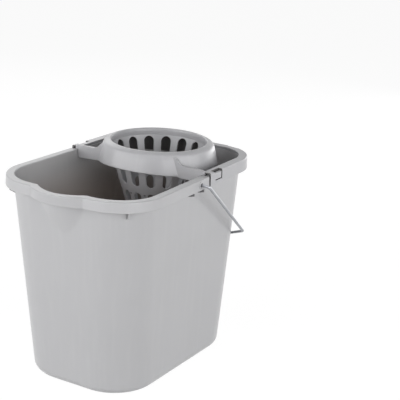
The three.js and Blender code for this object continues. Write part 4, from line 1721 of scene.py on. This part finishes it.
@dataclass
class Bail:
    """Steel wire bail that turns in the rim's two eyes, as it hangs against the rear wall."""

    form: TubForm
    pivot: Flat = PIVOT
    diameter: float = 4.0
    head: float = 7.4
    head_length: float = 2.0
    head_edge: Flat = (0.7, 0.4)  # chamfers of its outer and inner rims
    rest: float = 37.2  # degrees below level
    elbow: Corner = (125.4, 0.0, 4.6)  # across, out and bend radius
    knee: Corner = (114.0, 160.8, 7.0)
    shoulder: Corner = (53.0, 208.2, 12.0)
    bend_steps: int = 10
    sides: int = 20

    @property
    def seat(self) -> float:
        """Where the wire ends across, just inside the skirt."""
        return self.form.skirt_face(self.pivot[0], self.form.rim_top) - self.form.sheet - CLEARANCE

    def at(self, across: float, out: float) -> Point:
        """Point of the bail in its own plane as it hangs at rest."""
        turn = math.radians(self.rest)
        return self.pivot[0] + out * math.cos(turn), across, self.pivot[1] - out * math.sin(turn)

    def line(self) -> list[Vector]:
        """Centre line of the wire with each corner rounded.

        Returns:
            The points from the near eye to the far one.
        """
        half = [(self.seat, 0.0, 0.0), self.elbow, self.knee, self.shoulder]
        corners = [(-y, out, r) for y, out, r in half] + list(reversed(half))
        return [Vector(self.at(y, out)) for y, out in rounded(corners, self.bend_steps)]

    def upset_head(self, side: int) -> bpy.types.Object:
        """Head that keeps the wire in its eye.

        Args:
            side: -1 near, 1 far.

        Returns:
            The closed solid.
        """
        r, seat, end = self.head / 2, self.seat, self.seat - self.head_length
        outer, inner = self.head_edge
        profile = [(r - outer, seat), (r, seat - outer), (r, end + inner), (r - inner, end)]
        return bar((self.pivot[0], 0, self.pivot[1]), [(a, side * y) for a, y in profile])

    def build(self) -> bpy.types.Object:
        """Round wire with an upset head inside each eye.

        Returns:
            The bail.
        """
        path, radius = self.line(), self.diameter / 2
        turn = math.radians(self.rest)
        flat = Vector((math.sin(turn), 0, math.cos(turn)))
        rings = []
        for i, here in enumerate(path):
            ahead = (path[min(i + 1, len(path) - 1)] - path[max(i - 1, 0)]).normalized()
            across = ahead.cross(flat).normalized()
            rings.append([tuple(here + (flat * math.sin(t) + across * math.cos(t)) * radius)
                          for t in turns(self.sides)])
        builder = MeshBuilder()
        builder.skin(rings, ends=True)
        wire = builder.make("wire")
        for side in (-1, 1):
            combine(wire, self.upset_head(side), Operation.JOIN)
        smooth(wire)
        return wire

    def dress(self) -> bpy.types.Object:
        """Build and finish the bail in place of its CAD node."""
        return settle(self.build(), "wire_bail", (WIRE_FINISH,), "bail", "bail_wire")


@dataclass
class Grip:
    """Moulded sleeve on the bail's middle, with shallow grooves."""

    bail: Bail
    diameter: float = 15.4
    length: float = GRIP_LENGTH
    bore: float = 4.8
    bore_edge: float = 0.4
    groove: float = 0.9
    grooves: int = 6
    groove_halves: Flat = (0.22, 0.12)  # half widths at its top and bottom, as shares of the pitch
    groove_round: float = 2.0
    round_end: float = 2.0
    steps: int = 64

    def section(self) -> list[Flat]:
        """Closed section of the sleeve.

        Returns:
            The points as (radius, distance along Y).
        """
        half, outer, bore = self.length / 2, self.diameter / 2, self.bore / 2
        pitch = (self.length - 4 * self.round_end) / self.grooves
        wide, narrow = (pitch * share for share in self.groove_halves)
        inner, bend = outer - self.groove, self.groove_round
        line = [(bore, 0, 0), (bore, -half, self.bore_edge), (outer, -half, self.round_end)]
        for i in range(self.grooves):
            middle = -half + 2 * self.round_end + (i + 0.5) * pitch
            line += [(outer, middle - wide, bend), (inner, middle - narrow, bend),
                     (inner, middle + narrow, bend), (outer, middle + wide, bend)]
        line += [(outer, half, self.round_end), (bore, half, self.bore_edge), (bore, 0, 0)]
        return rounded(line, 4)[:-1]

    def build(self) -> bpy.types.Object:
        """Turn the section about the wire.

        Returns:
            The sleeve.
        """
        section = self.section()
        x, _, z = self.bail.at(0, self.bail.shoulder[1])
        builder = MeshBuilder()
        builder.skin([[(x + r * math.cos(t), y, z + r * math.sin(t)) for r, y in section]
                      for t in turns(self.steps)], wrap=True)
        grip = builder.make("grip")
        smooth(grip)
        return grip

    def dress(self) -> bpy.types.Object:
        """Build and finish the grip in place of its CAD node."""
        return settle(self.build(), "grip_sleeve", (GRIP_FINISH,), "grip", "bail_grip")


# ---------------------------------------------------------------- studio

@dataclass(frozen=True)
class Lamp:
    """Oblong softbox that faces the object."""

    name: str
    azimuth: float
    elevation: float
    distance: float
    size: Flat  # width and height
    power: float


@dataclass
class Studio:
    """Pale floor, soft lamps, white surroundings and the camera."""

    azimuth: float = -60.70
    elevation: float = 17.20
    roll: float = 3.15
    location: Point = (-1224.731, -793.157, 682.950)
    lens: float = 99.635
    sensor: float = 36.0
    sight: float = 20.0  # how far the camera sees, in metres
    target: Point = (0.0, 0.0, 140.0)
    floor_half: float = 6000.0
    floor_shade: str = "#CACACA"
    floor_lift: float = 0.8  # share of the floor's own white that the camera and reflections see
    floor_glow: float = 1.18
    ambient: float = 0.035
    lamps: tuple[Lamp, ...] = (
        Lamp("left_softbox", -118.0, 13.0, 2000.0, (3000.0, 1200.0), 35.0),
        Lamp("right_softbox", -9.0, 14.0, 2000.0, (3000.0, 1200.0), 30.5),
        Lamp("back_softbox", 140.0, 34.0, 2000.0, (1300.0, 1300.0), 8.0),
        Lamp("rear_softbox", 76.0, 5.0, 2000.0, (1400.0, 700.0), 9.0),
        Lamp("top_softbox", -70.0, 66.0, 2000.0, (1800.0, 1800.0), 5.0),
    )

    @staticmethod
    def toward(azimuth: float, elevation: float) -> Vector:
        """Direction from the object to a place seen at an azimuth and elevation."""
        az, el = math.radians(azimuth), math.radians(elevation)
        return Vector((math.sin(az) * math.cos(el), -math.cos(az) * math.cos(el), math.sin(el)))

    @staticmethod
    def seen(tree: bpy.types.NodeTree) -> bpy.types.NodeSocket:
        """Whether the camera, a reflection or a transmission looks at the surface.

        Args:
            tree: The node tree.

        Returns:
            The socket, 1 where one does.
        """
        path = add(tree, "ShaderNodeLightPath").outputs
        direct = add(tree, "ShaderNodeMath", {"operation": "MAXIMUM"},
                     {0: path["Is Camera Ray"], 1: path["Is Transmission Ray"]})
        either = add(tree, "ShaderNodeMath", {"operation": "MAXIMUM"},
                     {0: direct.outputs[0], 1: path["Is Glossy Ray"]})
        return either.outputs[0]

    def camera(self) -> None:
        """Place the camera."""
        back = self.toward(self.azimuth, self.elevation)
        level = Vector((math.cos(math.radians(self.azimuth)), math.sin(math.radians(self.azimuth)), 0))
        upright = back.cross(level)
        turn = math.radians(self.roll)
        right = level * math.cos(turn) + upright * math.sin(turn)
        up = upright * math.cos(turn) - level * math.sin(turn)
        data = bpy.data.cameras.new("camera")
        data.lens = self.lens
        data.sensor_width = self.sensor
        data.clip_end = self.sight
        camera = bpy.data.objects.new("camera", data)
        bpy.context.scene.collection.objects.link(camera)
        turned = Matrix((right, up, back)).transposed().to_4x4()
        camera.matrix_world = Matrix.Translation(Vector(self.location) * MM) @ turned
        bpy.context.scene.camera = camera

    def lights(self) -> None:
        """Place the softboxes, each turned to the object's middle."""
        for lamp in self.lamps:
            data = bpy.data.lights.new(lamp.name, "AREA")
            data.shape = "RECTANGLE"
            data.size, data.size_y = lamp.size[0] * MM, lamp.size[1] * MM
            data.energy = lamp.power
            thing = bpy.data.objects.new(lamp.name, data)
            bpy.context.scene.collection.objects.link(thing)
            out = self.toward(lamp.azimuth, lamp.elevation)
            thing.location = (Vector(self.target) + out * lamp.distance) * MM
            thing.rotation_euler = out.to_track_quat("Z", "Y").to_euler()

    def surroundings(self) -> None:
        """White world for the camera and for reflections, dimmer for the light that it gives."""
        world = bpy.data.worlds.new("white_surroundings")
        world.use_nodes = True
        bpy.context.scene.world = world
        tree = world.node_tree
        tree.nodes.clear()
        strength = add(tree, "ShaderNodeMapRange", {"To Min": self.ambient, "To Max": 1.0},
                       {"Value": self.seen(tree)})
        glow = add(tree, "ShaderNodeBackground", {"Color": (1, 1, 1, 1)},
                   {"Strength": strength.outputs["Result"]})
        add(tree, "ShaderNodeOutputWorld", None, {"Surface": glow.outputs["Background"]})

    def floor(self) -> None:
        """Wide pale floor that keeps the object's shadow."""
        builder, half = MeshBuilder(), self.floor_half
        builder.skin([[(-half, y, 0), (half, y, 0)] for y in (-half, half)], closed=False)
        floor = builder.make("floor")
        material, tree = new_material("pale_matt_floor")
        share = add(tree, "ShaderNodeMath", {"operation": "MULTIPLY", 1: self.floor_lift},
                    {0: self.seen(tree)})
        matt = add(tree, "ShaderNodeBsdfDiffuse", {"Color": linear(self.floor_shade)})
        lift = add(tree, "ShaderNodeEmission", {"Color": (1, 1, 1, 1), "Strength": self.floor_glow})
        mixed = add(tree, "ShaderNodeMixShader", None,
                    {0: share.outputs[0], 1: matt.outputs[0], 2: lift.outputs[0]})
        add(tree, "ShaderNodeOutputMaterial", None, {"Surface": mixed.outputs[0]})
        floor.data.materials.append(material)

    def build(self) -> None:
        """Set up the whole studio."""
        bpy.context.scene.view_settings.view_transform = "Standard"
        self.camera()
        self.lights()
        self.surroundings()
        self.floor()


# ---------------------------------------------------------------- assembly

def main() -> None:
    """Build the studio and every piece."""
    logging.basicConfig(level=logging.INFO, format="%(message)s")
    Studio().build()
    form = TubForm()
    bail = Bail(form)
    for part in (Bucket(form), Wringer(form), bail, Grip(bail)):
        piece = part.dress()
        LOG.info("%s: %d faces", piece.name, len(piece.data.polygons))


if __name__ == "__main__":
    main()
